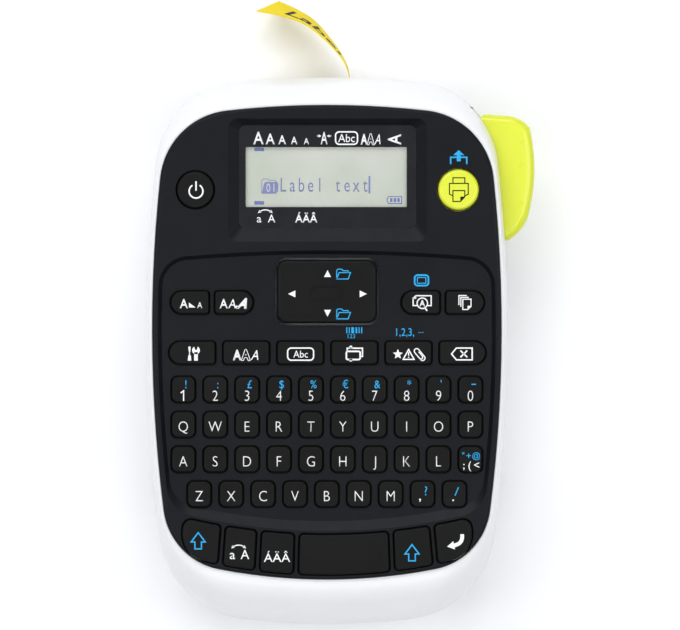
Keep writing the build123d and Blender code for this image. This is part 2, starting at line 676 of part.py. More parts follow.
# Print head and its finned heat sink, left of the tape
with BuildPart() as print_head:
    block((2.2, 63.5, 6.0), (6.4, 69.5, 22.0))
    fillet(print_head.edges().filter_by(Axis.Z).group_by(Axis.X)[-1], 1.2)
save("print_head", print_head.part)

with BuildPart() as head_heat_sink:
    block((0.4, 62.2, 4.0), (2.2, 70.8, CHASSIS_BOTTOM))
    with Locations((-2.2, 66.5, 14.0)):
        with GridLocations(1, 2.4, 1, 4):
            Box(5.4, 1.0, 20.0)
save("head_heat_sink", head_heat_sink.part)

# ---------------------------------------------------------------- cassette

roll_radius = 17.0
post_radius = 8.0
with BuildPart() as cassette_case:
    low = (*CASSETTE_LOW, CASSETTE_BOTTOM)
    high = (*CASSETTE_HIGH, CASSETTE_TOP - CASSETTE_WALL)
    block(low, high)
    fillet(cassette_case.edges().filter_by(Axis.Z), 3)
    floor = CASSETTE_BOTTOM + CASSETTE_WALL
    inner_low = (CASSETTE_LOW[0] + CASSETTE_WALL, CASSETTE_LOW[1] + CASSETTE_WALL, floor)
    inner_high = (CASSETTE_HIGH[0] - CASSETTE_WALL, CASSETTE_HIGH[1] - CASSETTE_WALL, 30)
    block(inner_low, inner_high, Mode.SUBTRACT)
    post(*ROLL_CENTRE, post_radius, floor - 0.1, 23.5)
    post(*SUPPLY_CENTRE, 1.5, floor - 0.1, 23.5)
    post(TAPE_X - 2.6, 13.2, 1.6, floor - 0.1, 23.5)
    block((TAPE_X - 1.4, 55, 6.5), (TAPE_X + 1.2, 62, 21.5), Mode.SUBTRACT)
save("cassette_case", cassette_case.part)

with BuildPart() as cassette_lid:
    block((*CASSETTE_LOW, CASSETTE_TOP - CASSETTE_WALL), (*CASSETTE_HIGH, CASSETTE_TOP))
    fillet(cassette_lid.edges().filter_by(Axis.Z), 3)
    post(SPOOL_X, SPOOL_Y, 3.0, 20, 30, Mode.SUBTRACT)
save("cassette_lid", cassette_lid.part)

with BuildPart() as tape_roll:
    post(*ROLL_CENTRE, roll_radius, TAPE_Z - TAPE_WIDTH / 2, TAPE_Z + TAPE_WIDTH / 2)
    post(*ROLL_CENTRE, post_radius + 1, 4.2, 23.2)
    post(*ROLL_CENTRE, post_radius + 0.08, 2, 30, Mode.SUBTRACT)
save("tape_roll", tape_roll.part)


def spool(centre, radius, bore):
    """A ribbon spool: the wound ribbon between the ends of its core."""
    with BuildPart() as reel:
        post(*centre, radius, TAPE_Z - 6.5, TAPE_Z + 6.5)
        post(*centre, bore + 0.9, 4.2, 23.2)
        post(*centre, bore, 2, 30, Mode.SUBTRACT)
    return reel.part


save("ribbon_supply_spool", spool(SUPPLY_CENTRE, 6.0, 1.58))
save("ribbon_takeup_spool", spool((SPOOL_X, SPOOL_Y), 4.6, 2.0))

# The web inside the cassette up to the cut, and the finished label curling out of the slot
web_thickness = 0.3
free_path = Edge.make_spline(
    [
        (TAPE_X, 81.9, TAPE_Z),
        (4.9, 88.4, TAPE_Z),
        (-2.3, 97.0, TAPE_Z - 1.1),
        (-8.1, 101.3, TAPE_Z - 3.2),
        (-18.8, 105.5, TAPE_Z - 8.9),
    ],
    tangents=[(0, 1, 0), (-0.957, 0.29, -0.62)],
)
END_TWIST = 28.0


def label_section(fraction):
    """Cross-section of the free label, which twists and droops as it leaves the slot."""
    ahead = free_path.tangent_at(fraction)
    twist = radians(END_TWIST * fraction)
    level = Vector(ahead.Y, -ahead.X, 0).normalized()
    across = level * sin(twist) + ahead.cross(level) * cos(twist)
    with BuildSketch(Plane(free_path.position_at(fraction), x_dir=across, z_dir=ahead)) as section:
        Rectangle(TAPE_WIDTH, web_thickness)
    return section.sketch


with BuildPart() as label_tape:
    with BuildSketch(Plane.XY.offset(TAPE_Z - TAPE_WIDTH / 2)):
        with BuildLine():
            web = Polyline((ROLL_CENTRE[0] + 3, 16.2), (TAPE_X - 1.4, 10.6), (TAPE_X, 13.0))
            Line(web @ 1, (TAPE_X, CUT_Y - 0.6))
        trace(line_width=web_thickness)
    extrude(amount=TAPE_WIDTH)
    low = (TAPE_X - web_thickness / 2, CUT_Y + 0.6, TAPE_Z - TAPE_WIDTH / 2)
    block(low, (TAPE_X + web_thickness / 2, 81.9, TAPE_Z + TAPE_WIDTH / 2))
    loft([label_section(step / 8) for step in range(9)])
save("label_tape", label_tape.part)

# ---------------------------------------------------------------- cutter

with BuildPart() as lever_pivot_pin:
    post(*LEVER_PIVOT, 1.5, 19.6, LEVER_TOP + 2)
save("lever_pivot_pin", lever_pivot_pin.part)

# Lime lever: a bulged outer wall, a pivot boss and a finger that pushes the blade slide
with BuildPart() as cutter_lever:
    with BuildSketch(Plane.XY.offset(LEVER_BOTTOM)):
        with BuildLine():
            ThreePointArc((56.0, 31.4), (59.6, 34.4), (62.0, 38.6))
            ThreePointArc((62.0, 38.6), (64.0, 52.5), (62.6, 66.0))
            ThreePointArc((62.6, 66.0), (59.5, 68.6), (55.2, 69.8))
            Line((55.2, 69.8), (48.4, 70.3))
            Line((48.4, 70.3), (45.4, 66.5))
            ThreePointArc((45.4, 66.5), (49.4, 58.0), (50.6, 48.0))
            Line((50.6, 48.0), (50.6, 31.4))
            Line((50.6, 31.4), (56.0, 31.4))
        make_face()
        with Locations(LEVER_PIVOT):
            Circle(2.6)
    extrude(amount=LEVER_TOP - LEVER_BOTTOM)
    outer_edges = cutter_lever.edges().filter_by(lambda edge: edge.center().X > 56.5)
    fillet(outer_edges.filter_by(GeomType.CIRCLE), 2.5)
    with BuildSketch(Plane.XY.offset(LEVER_BOTTOM)):
        Polygon(*FINGER_OUTLINE, align=None)
    extrude(amount=2.4)
    post(*LEVER_PIVOT, PIN_FIT_RADIUS, 20, 36, Mode.SUBTRACT)
save("cutter_lever", cutter_lever.part)

# Slide under the plate, with a notch for its return spring and a foot that the finger pushes
with BuildPart() as cutter_slide:
    block((11, 72.0, SLIDE_BOTTOM), (36.1, 75.2, SLIDE_TOP))
    block((33.4, 68.0, SLIDE_BOTTOM), (36.1, 75.2, SLIDE_TOP))
    block((19.5, 71.0, SLIDE_BOTTOM + 0.9), (32, 76.0, 30), Mode.SUBTRACT)
save("cutter_slide", cutter_slide.part)

with BuildPart() as cutter_blade:
    with BuildSketch(Plane.XY.offset(6.0)):
        Polygon((9.0, 75.2), (16.6, 75.2), (16.6, 75.8), (9.8, 75.8), align=None)
    extrude(amount=19.4)
save("cutter_blade", cutter_blade.part)

with BuildPart() as cutter_spring:
    with BuildLine() as coil:
        Helix(2.4, 9.6, 1.1, center=(21.8, 73.6, 23.6), direction=(1, 0, 0))
    with BuildSketch(Plane(coil.line @ 0, z_dir=coil.line % 0)):
        Circle(0.25)
    sweep(path=coil.line, is_frenet=True)
save("cutter_spring", cutter_spring.part)

with BuildPart() as cutter_anvil:
    block((-1.0, CUT_Y - 2.2, WALL), (6.4, CUT_Y + 0.2, SLIDE_BOTTOM - 0.4))
    block((-1.0, CUT_Y - 2.2, 6.0), (6.4, CUT_Y + 2.8, SLIDE_BOTTOM - 0.4))
    block((2.4, CUT_Y - 0.6, 5.0), (8.0, CUT_Y + 0.6, SLIDE_BOTTOM + 1), Mode.SUBTRACT)
save("cutter_anvil", cutter_anvil.part)

# ---------------------------------------------------------------- batteries

cell_low_y = -69.9
cell_high_y = cell_low_y + CELL_BODY + NUB_LENGTH
low_plate_y = BAY_LOW_Y + 0.1
high_plate_y = BAY_HIGH_Y - 1.6
plate_thickness = 0.4
cell_places = [((index - 2.5) * CELL_PITCH, index % 2 == 0) for index in range(6)]


def along_y(x, low, high, radius, z=CELL_Z):
    """A cylinder lying along Y between two ends."""
    with Locations(Location((x, (low + high) / 2, z), (90, 0, 0))):
        Cylinder(radius, high - low)


with BuildPart() as batteries:
    for x, nub_up in cell_places:
        if nub_up:
            along_y(x, cell_low_y, cell_low_y + CELL_BODY, CELL_RADIUS)
            along_y(x, cell_high_y - NUB_LENGTH, cell_high_y, 2.75)
        else:
            along_y(x, cell_high_y - CELL_BODY, cell_high_y, CELL_RADIUS)
            along_y(x, cell_low_y, cell_low_y + NUB_LENGTH, 2.75)
save("batteries", batteries.part)

with BuildPart() as battery_contacts:
    for x, nub_up in cell_places:
        block((x - 5.5, low_plate_y, 4), (x + 5.5, low_plate_y + plate_thickness, 16.4))
        block((x - 5.5, high_plate_y - plate_thickness, 4), (x + 5.5, high_plate_y, 16.4))
        if nub_up:
            along_y(x, cell_high_y, high_plate_y, 2.4)
        else:
            along_y(x, low_plate_y, cell_low_y, 2.4)
save("battery_contacts", battery_contacts.part)

with BuildPart() as battery_springs:
    for x, nub_up in cell_places:
        wire_radius = 0.3
        if nub_up:
            start = low_plate_y + plate_thickness + wire_radius
            room = cell_low_y - wire_radius - start
        else:
            start = cell_high_y + wire_radius
            room = high_plate_y - plate_thickness - wire_radius - start
        with BuildLine() as turn:
            Helix(room / 2, room, 3.2, center=(x, start, CELL_Z), direction=(0, 1, 0))
        with BuildSketch(Plane(turn.line @ 0, z_dir=turn.line % 0)):
            Circle(wire_radius)
        sweep(path=turn.line)
save("battery_springs", battery_springs.part)
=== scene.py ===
import json
import math

import bmesh
import bpy
from mathutils import Matrix, Vector
from mathutils.bvhtree import BVHTree


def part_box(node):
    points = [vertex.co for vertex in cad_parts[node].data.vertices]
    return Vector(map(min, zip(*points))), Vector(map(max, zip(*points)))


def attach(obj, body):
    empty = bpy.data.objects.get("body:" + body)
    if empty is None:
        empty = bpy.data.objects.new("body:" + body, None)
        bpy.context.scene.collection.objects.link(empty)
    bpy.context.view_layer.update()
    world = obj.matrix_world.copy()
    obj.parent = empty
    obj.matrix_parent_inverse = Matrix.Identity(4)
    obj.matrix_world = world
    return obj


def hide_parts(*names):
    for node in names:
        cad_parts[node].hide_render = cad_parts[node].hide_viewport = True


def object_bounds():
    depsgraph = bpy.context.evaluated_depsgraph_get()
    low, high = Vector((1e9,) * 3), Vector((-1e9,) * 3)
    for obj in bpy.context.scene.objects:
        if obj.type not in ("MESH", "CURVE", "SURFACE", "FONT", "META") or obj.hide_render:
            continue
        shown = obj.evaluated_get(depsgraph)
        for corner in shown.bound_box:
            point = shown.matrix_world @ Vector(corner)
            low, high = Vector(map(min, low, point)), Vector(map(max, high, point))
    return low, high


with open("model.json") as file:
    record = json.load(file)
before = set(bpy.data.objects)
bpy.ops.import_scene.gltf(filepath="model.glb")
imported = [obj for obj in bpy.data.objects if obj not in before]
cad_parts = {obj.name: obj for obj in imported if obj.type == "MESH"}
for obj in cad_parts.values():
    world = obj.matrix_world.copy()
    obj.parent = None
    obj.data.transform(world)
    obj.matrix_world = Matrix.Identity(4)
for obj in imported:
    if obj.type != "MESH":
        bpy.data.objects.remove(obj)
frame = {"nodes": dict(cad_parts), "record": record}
cad_low, cad_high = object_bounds()
nodes = frame["nodes"]

# Sizes are in millimetres, except for the floor, lights and camera
MM = 0.001
INK = 0.02


# ---------------------------------------------------------------- materials


def linear(code):
    """Linear colour of a six-digit hex code."""
    channels = [int(code[i:i + 2], 16) / 255 for i in (0, 2, 4)]
    return [c / 12.92 if c < 0.04045 else ((c + 0.055) / 1.055) ** 2.4 for c in channels] + [1.0]


class Finish:
    """A node material round one Principled shader, textured by the object's own coordinates."""

    def __init__(self, name, **sockets):
        self.material = bpy.data.materials.new(name)
        self.material.use_nodes = True
        self.tree = self.material.node_tree
        self.shader = self.tree.nodes["Principled BSDF"]
        for socket, value in sockets.items():
            self.shader.inputs[socket.replace("_", " ")].default_value = value
        self.place = self.node("ShaderNodeTexCoord").outputs["Object"]

    def node(self, kind, **settings):
        made = self.tree.nodes.new(kind)
        for name, value in settings.items():
            setattr(made, name, value)
        return made

    def link(self, start, end):
        self.tree.links.new(start, end)

    def stretched(self, scale):
        """The object's coordinates, stretched along its axes."""
        mapping = self.node("ShaderNodeMapping")
        mapping.inputs["Scale"].default_value = scale
        self.link(self.place, mapping.inputs["Vector"])
        return mapping.outputs["Vector"]

    def noise(self, size, detail=3.0, place=None):
        """Noise whose patches are about size millimetres across."""
        made = self.node("ShaderNodeTexNoise")
        made.inputs["Scale"].default_value = 1 / (size * MM)
        made.inputs["Detail"].default_value = detail
        self.link(place or self.place, made.inputs["Vector"])
        return made.outputs["Fac"]

    def ramp(self, factor, stops):
        """Colour that runs through stops, a list of (position, hex code)."""
        made = self.node("ShaderNodeValToRGB")
        elements = made.color_ramp.elements
        while len(elements) < len(stops):
            elements.new(0.5)
        for element, (position, code) in zip(elements, stops):
            element.position = position
            element.color = linear(code)
        self.link(factor, made.inputs["Fac"])
        return made.outputs["Color"]

    def colour(self, output):
        self.link(output, self.shader.inputs["Base Color"])

    def rough(self, factor, low, high):
        """Roughness that follows factor from low to high."""
        made = self.node("ShaderNodeMapRange")
        made.inputs["From Min"].default_value = 0.3
        made.inputs["From Max"].default_value = 0.7
        made.inputs["To Min"].default_value = low
        made.inputs["To Max"].default_value = high
        self.link(factor, made.inputs["Value"])
        self.link(made.outputs["Result"], self.shader.inputs["Roughness"])

    def bump(self, height, depth):
        """Relief of depth millimetres from a height output."""
        made = self.node("ShaderNodeBump")
        made.inputs["Distance"].default_value = depth * MM
        self.link(height, made.inputs["Height"])
        self.link(made.outputs["Normal"], self.shader.inputs["Normal"])


def moulded(name, dark, light, rough, grain=0.35, depth=0.01, **sockets):
    """Moulded plastic: faint patches, uneven gloss and, where depth isn't 0, a fine grain."""
    finish = Finish(name, **sockets)
    patches = finish.noise(18, 4)
    finish.colour(finish.ramp(patches, [(0.3, dark), (0.7, light)]))
    finish.rough(finish.noise(4, 5), *rough)
    if depth:
        finish.bump(finish.noise(grain, 2), depth)
    return finish.material


def brushed(name, dark, light, rough, along=(1, 1, 0.05), **sockets):
    """Metal with fine lines drawn along one axis."""
    finish = Finish(name, Metallic=1.0, **sockets)
    lines = finish.noise(0.25, 3, finish.stretched(along))
    finish.colour(finish.ramp(lines, [(0.25, dark), (0.75, light)]))
    finish.rough(lines, *rough)
    finish.bump(lines, 0.006)
    return finish.material


def clear_pane():
    finish = Finish("window_clear", Alpha=0.1, Coat_Weight=0.5)
    haze = finish.noise(9, 4)
    finish.colour(finish.ramp(haze, [(0.3, "C4CCC8"), (0.7, "DCE2DF")]))
    finish.rough(haze, 0.03, 0.08)
    return finish.material


def display_glass():
    """Pale grey-green display with its faint grid of dots."""
    finish = Finish("lcd_glass", Specular_IOR_Level=0.3)
    grid = finish.node("ShaderNodeTexBrick", offset=0.0)
    grid.inputs["Scale"].default_value = 1 / (0.46 * MM)
    grid.inputs["Brick Width"].default_value = 1.0
    grid.inputs["Row Height"].default_value = 1.0
    grid.inputs["Mortar Size"].default_value = 0.06
    for socket, code in (("Color1", "CDD0C6"), ("Color2", "CACDC4"), ("Mortar", "C6C9C0")):
        grid.inputs[socket].default_value = linear(code)
    finish.link(finish.place, grid.inputs["Vector"])
    cloud = finish.ramp(finish.noise(26, 2), [(0.3, "E9ECE2"), (0.7, "FFFFFF")])
    mix = finish.node("ShaderNodeMix", data_type="RGBA", blend_type="MULTIPLY")
    mix.inputs["Factor"].default_value = 1.0
    finish.link(grid.outputs["Color"], mix.inputs["A"])
    finish.link(cloud, mix.inputs["B"])
    finish.colour(mix.outputs["Result"])
    finish.rough(finish.noise(3), 0.3, 0.4)
    return finish.material


def board_laminate():
    """Green lacquer over copper tracks."""
    finish = Finish("board_laminate", Coat_Weight=0.4)
    tracks = finish.node("ShaderNodeTexVoronoi", distance="MANHATTAN", feature="F2")
    tracks.inputs["Scale"].default_value = 1 / (3.2 * MM)
    finish.link(finish.place, tracks.inputs["Vector"])
    stops = [(0.0, "12402A"), (0.55, "165034"), (0.6, "2E7A4C"), (1.0, "2A7348")]
    finish.colour(finish.ramp(tracks.outputs["Distance"], stops))
    finish.rough(finish.noise(5), 0.25, 0.4)
    finish.bump(tracks.outputs["Distance"], 0.02)
    return finish.material


def wound(name, dark, light, rough):
    """Film wound round a vertical core: fine rings on the flat ends."""
    finish = Finish(name, Coat_Weight=0.3)
    rings = finish.node("ShaderNodeTexWave", wave_type="RINGS", rings_direction="Z")
    rings.inputs["Scale"].default_value = 1 / (2.4 * MM)
    rings.inputs["Distortion"].default_value = 0.4
    low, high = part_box("tape_roll")
    centre = finish.node("ShaderNodeVectorMath", operation="SUBTRACT")
    centre.inputs[1].default_value = (low + high) / 2
    finish.link(finish.place, centre.inputs[0])
    finish.link(centre.outputs["Vector"], rings.inputs["Vector"])
    finish.colour(finish.ramp(rings.outputs["Fac"], [(0.1, dark), (0.9, light)]))
    finish.rough(finish.noise(2), *rough)
    finish.bump(rings.outputs["Fac"], 0.02)
    return finish.material


def battery_wrap():
    """Printed sleeve with a bare band at each end of the cell."""
    finish = Finish("cell_sleeve", Metallic=0.35, Coat_Weight=0.5)
    low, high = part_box("batteries")
    split = finish.node("ShaderNodeSeparateXYZ")
    finish.link(finish.place, split.inputs["Vector"])
    along = finish.node("ShaderNodeMapRange")
    along.inputs["From Min"].default_value = low.y
    along.inputs["From Max"].default_value = high.y
    finish.link(split.outputs["Y"], along.inputs["Value"])
    bare, blue, pale = "B9BCC0", "1F4E8C", "E4E7EB"
    stops = [(0.0, bare), (0.035, bare), (0.04, blue), (0.3, blue), (0.31, pale),
             (0.34, pale), (0.35, "23558F"), (0.955, blue), (0.96, bare)]
    finish.colour(finish.ramp(along.outputs["Result"], stops))
    finish.rough(finish.noise(3), 0.25, 0.38)
    finish.bump(finish.noise(1.2), 0.01)
    return finish.material


def tape_film():
    """Glossy yellow laminated tape."""
    finish = Finish("tape_film", Specular_IOR_Level=0.06)
    finish.colour(finish.ramp(finish.noise(7, 3), [(0.3, "E6CC04"), (0.7, "EFD80A")]))
    finish.rough(finish.noise(2), 0.4, 0.5)
    finish.bump(finish.noise(0.6), 0.002)
    return finish.material


def printed(name, dark, light):
    """Pad-printed ink, slightly uneven."""
    finish = Finish(name, Specular_IOR_Level=0.1)
    finish.colour(finish.ramp(finish.noise(0.8, 3), [(0.3, dark), (0.7, light)]))
    finish.rough(finish.noise(0.5), 0.45, 0.6)
    return finish.material


def floor_paper():
    finish = Finish("floor_paper", Specular_IOR_Level=0.1)
    finish.colour(finish.ramp(finish.noise(60, 2), [(0.3, "F6F7F8"), (0.7, "FAFAFB")]))
    finish.rough(finish.noise(8), 0.8, 0.9)
    finish.bump(finish.noise(0.8), 0.01)
    return finish.material


WHITE_INK = printed("ink_white", "E6E7E8", "F4F5F5")
BLUE_INK = printed("ink_blue", "2C9BD6", "38AEE8")
DARK_INK = printed("ink_dark", "1E2112", "282B18")
TAPE_INK = printed("ink_tape", "0E0E0E", "171717")
LCD_INK = printed("lcd_violet", "656AA6", "7076B0")
LCD_MARK = printed("lcd_mark", "3C48A0", "4652AA")
LCD_BODY = printed("lcd_reverse", "C4C8CC", "CDD0D2")
TAPE_FILM = tape_film()
GLOSS_BLACK = moulded("window_black", "141519", "17181D", (0.1, 0.16), depth=0.001, Coat_Weight=0.3)
CLEAR = clear_pane()

SLOT_FINISHES = {
    "white_casing": moulded("casing_white", "ECEDEE", "EFF0F1", (0.3, 0.31), depth=0,
                            Coat_Weight=0.15),
    "black_face": moulded("face_black", "0F1115", "13151A", (0.36, 0.42), depth=0.004,
                          Specular_IOR_Level=0.13),
    "key_plastic": moulded("key_charcoal", "0E0E0E", "131313", (0.38, 0.46), depth=0.004,
                           Specular_IOR_Level=0.12),
    "lime_plastic": moulded("lime", "D8E130", "DBE336", (0.27, 0.3), depth=0, Coat_Weight=0.2),
    "window_glass": CLEAR,
    "lcd_panel": display_glass(),
    "circuit_board": board_laminate(),
    "silicone": moulded("mat_rubber", "8E9296", "A0A4A8", (0.55, 0.7)),
    "chassis_plastic": moulded("chassis_grey", "2B2D30", "36383B", (0.4, 0.55)),
    "cassette_plastic": moulded("cassette_grey", "B4B8BB", "C6C9CC", (0.3, 0.42),
                                Coat_Weight=0.2),
    "label_film": wound("wound_label", "C9AE12", "F2DA22", (0.3, 0.42)),
    "ribbon_film": wound("wound_ribbon", "0C0C0D", "26262A", (0.15, 0.25)),
    "acetal": moulded("acetal_white", "D9D8D0", "E8E7E0", (0.35, 0.45), depth=0.005),
    "steel": brushed("bright_steel", "8F9296", "C4C7CA", (0.22, 0.36)),
    "zinc_can": brushed("motor_can", "9DA0A2", "C9CBCC", (0.28, 0.4)),
    "platen_rubber": moulded("roller_rubber", "1A1A1B", "28282A", (0.6, 0.75), grain=0.2,
                             depth=0.02),
    "head_ceramic": moulded("ceramic", "C9C4B4", "DAD6C8", (0.3, 0.4), depth=0.004),
    "heat_sink_metal": brushed("aluminium", "A4A7AA", "D2D4D6", (0.3, 0.42), along=(1, 0.05, 1)),
    "battery_wrap": battery_wrap(),
    "plated_contact": brushed("nickel", "B2AFA6", "DEDBD2", (0.18, 0.3)),
}

for row in frame["record"]["subparts"]:
    mesh = nodes[row["node"]].data
    mesh.materials.clear()
    mesh.materials.append(SLOT_FINISHES[row["material_slot"]])


# ---------------------------------------------------------------- flat marks


def link_mesh(name, shape, material):
    """Object from a bmesh given in metres."""
    mesh = bpy.data.meshes.new(name)
    shape.to_mesh(mesh)
    shape.free()
    piece = bpy.data.objects.new(name, mesh)
    bpy.context.scene.collection.objects.link(piece)
    mesh.materials.append(material)
    return piece


def face_up(shape):
    """Turns every face of a flat shape to look up."""
    for face in shape.faces:
        face.normal_update()
        if face.normal.z < 0:
            face.normal_flip()


def raised(shape, rise):
    """Gives flat faces that look up a thickness of rise millimetres."""
    made = bmesh.ops.extrude_face_region(shape, geom=shape.faces[:])
    tops = [v for v in made["geom"] if isinstance(v, bmesh.types.BMVert)]
    bmesh.ops.translate(shape, verts=tops, vec=(0, 0, rise))
    bmesh.ops.recalc_face_normals(shape, faces=shape.faces[:])


def arc(centre, radius, start, end, steps=16):
    """Points on an arc, angles in degrees, anticlockwise where end is the larger."""
    points = []
    for i in range(steps + 1):
        angle = math.radians(start + (end - start) * i / steps)
        points.append((centre[0] + radius * math.cos(angle), centre[1] + radius * math.sin(angle)))
    return points


def rounded(centre, width, height, radius):
    """Closed outline of a rounded rectangle."""
    points = []
    for index, (sx, sy) in enumerate(((1, 1), (-1, 1), (-1, -1), (1, -1))):
        corner = (centre[0] + sx * (width / 2 - radius), centre[1] + sy * (height / 2 - radius))
        points += arc(corner, radius, 90 * index, 90 * index + 90, 5)
    return points


def font_shape(text, bold=0.0, shear=0.0):
    """Flat bmesh of a line of text at the font's own size."""
    curve = bpy.data.curves.new("glyphs", "FONT")
    curve.body = text
    curve.offset = bold
    curve.shear = shear
    curve.resolution_u = 4
    letters = bpy.data.objects.new("glyphs", curve)
    bpy.context.scene.collection.objects.link(letters)
    bpy.context.view_layer.update()
    graph = bpy.context.evaluated_depsgraph_get()
    mesh = bpy.data.meshes.new_from_object(letters.evaluated_get(graph))
    bpy.data.objects.remove(letters)
    bpy.data.curves.remove(curve)
    shape = bmesh.new()
    shape.from_mesh(mesh)
    bpy.data.meshes.remove(mesh)
    bmesh.ops.remove_doubles(shape, verts=shape.verts[:], dist=1e-5)
    return shape


def capital_height():
    """Height of a capital at the font's own size."""
    shape = font_shape("H")
    height = max(v.co.y for v in shape.verts)
    shape.free()
    return height


FONT_CAP = capital_height()


def glyphs(text, width=1.0, **style):
    """Line of text as font_shape, centred on x, one unit per capital's height."""
    shape = font_shape(text, **style)
    middle = (min(v.co.x for v in shape.verts) + max(v.co.x for v in shape.verts)) / 2
    for vert in shape.verts:
        vert.co.x = (vert.co.x - middle) * width / FONT_CAP
        vert.co.y /= FONT_CAP
    return shape


class Marks:
    """Printed marks of one ink on one body, in one thin piece. Points are relative to at."""

    # Least cosine of a corner's half angle, so that a sharp corner isn't drawn out to a spike
    MITRE_LIMIT = 0.35

    def __init__(self, name, body, ink, height, at=(0, 0)):
        self.name = name
        self.body = body
        self.ink = ink
        self.height = height
        self.at = at
        self.shape = bmesh.new()

    def vert(self, point):
        return self.shape.verts.new((self.at[0] + point[0], self.at[1] + point[1], self.height))

    def fill(self, points):
        """Filled outline."""
        face = self.shape.faces.new([self.vert(p) for p in points])
        bmesh.ops.triangulate(self.shape, faces=[face])

    def stroke(self, points, width, closed=False):
        """Line of even width with mitred corners."""
        count = len(points)
        sides = []
        for i, point in enumerate(points):
            before = Vector(points[i - 1]) if closed or i > 0 else None
            after = Vector(points[(i + 1) % count]) if closed or i < count - 1 else None
            here = Vector(point)
            ahead = (after - here).normalized() if after else (here - before).normalized()
            behind = (here - before).normalized() if before else ahead
            normal = Vector((-ahead.y - behind.y, ahead.x + behind.x)).normalized()
            reach = width / 2 / max(self.MITRE_LIMIT, normal.dot(Vector((-ahead.y, ahead.x))))
            sides.append((self.vert(here + normal * reach), self.vert(here - normal * reach)))
        for i in range(count if closed else count - 1):
            a, b = sides[i], sides[(i + 1) % count]
            self.shape.faces.new((a[0], a[1], b[1], b[0]))

    def text(self, text, at, cap, turn=0.0, **style):
        """Text with its baseline's middle at a point, cap millimetres high."""
        letters = glyphs(text, **style)
        place = Matrix.Translation((self.at[0] + at[0], self.at[1] + at[1], self.height))
        place = place @ Matrix.Rotation(math.radians(turn), 4, "Z") @ Matrix.Scale(cap, 4)
        letters.transform(place)
        mesh = bpy.data.meshes.new("letters")
        letters.to_mesh(mesh)
        letters.free()
        self.shape.from_mesh(mesh)
        bpy.data.meshes.remove(mesh)

    def outlined(self, text, at, cap, line, **style):
        """Text drawn as the outline of its letters."""
        letters = glyphs(text, **style)
        for edge in letters.edges:
            if edge.is_boundary:
                ends = [(at[0] + v.co.x * cap, at[1] + v.co.y * cap) for v in edge.verts]
                self.stroke(ends, line)
        letters.free()

    def finish(self, slot):
        """Thickens the marks and makes them a piece that rides on the body."""
        face_up(self.shape)
        raised(self.shape, INK)
        self.shape.transform(Matrix.Scale(MM, 4))
        piece = link_mesh(self.name, self.shape, self.ink)
        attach(piece, self.body)


def key_marks(node, ink, tone):
    """Marks on the flat top of a key, measured from its middle."""
    low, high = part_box(node)
    middle = ((low.x + high.x) / 2 / MM, (low.y + high.y) / 2 / MM)
    return Marks(f"{node}_{tone}_marks", node, ink, high.z / MM, middle)


def height_at(node, x, y):
    """Height of a CAD node's upper surface at a point, in millimetres."""
    mesh = nodes[node].data
    tree = BVHTree.FromPolygons([v.co for v in mesh.vertices], [p.vertices for p in mesh.polygons])
    return tree.ray_cast(Vector((x * MM, y * MM, 1)), Vector((0, 0, -1)))[0].z / MM


# ---------------------------------------------------------------- letter keys

# Letters of each row of keys, with a space for a key that has signs of its own
ROWS = {
    "number_keys": "1234567890",
    "upper_letter_keys": "QWERTYUIOP",
    "home_letter_keys": "ASDFGHJKL ",
    "lower_letter_keys": "ZXCVBNM  ",
}


def row_width(node):
    """Width of a row of keys in millimetres."""
    low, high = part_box(node)
    return (high.x - low.x) / MM


LETTER_PITCH = row_width("number_keys") - row_width("lower_letter_keys")
LETTER_WIDTH = 0.86
CAP_HEIGHT = 3.2
SMALL_CAP = 2.4

# Middles of the letters, the digits and the second signs, from the middle of a key
LETTER_DROP = 0.6
DIGIT_DROP = 1.9
SECOND_RISE = 1.6
SECOND_SHIFT = 0.8


def letter_row(node, letters):
    """White letters of one row of keys."""
    marks = key_marks(node, WHITE_INK, "white")
    drop = DIGIT_DROP if node == "number_keys" else LETTER_DROP
    for i, letter in enumerate(letters):
        x = (i - (len(letters) - 1) / 2) * LETTER_PITCH
        foot = -drop - CAP_HEIGHT / 2
        if letter == "1":
            marks.stroke([(x - 0.75, foot + 2.45), (x + 0.1, foot + 3.1), (x + 0.1, foot)], 0.36)
        elif letter != " ":
            marks.text(letter, (x, foot), CAP_HEIGHT, width=LETTER_WIDTH, bold=-0.012)
    return marks


def second_signs(node, signs, first, cap=SMALL_CAP):
    """Small blue signs at the upper right of the keys, from the key numbered first."""
    marks = key_marks(node, BLUE_INK, "blue")
    count = len(ROWS[node])
    for i, sign in enumerate(signs):
        x = (first + i - (count - 1) / 2) * LETTER_PITCH + SECOND_SHIFT
        if sign != " ":
            marks.text(sign, (x, SECOND_RISE - cap / 2), cap, width=LETTER_WIDTH)
    return marks


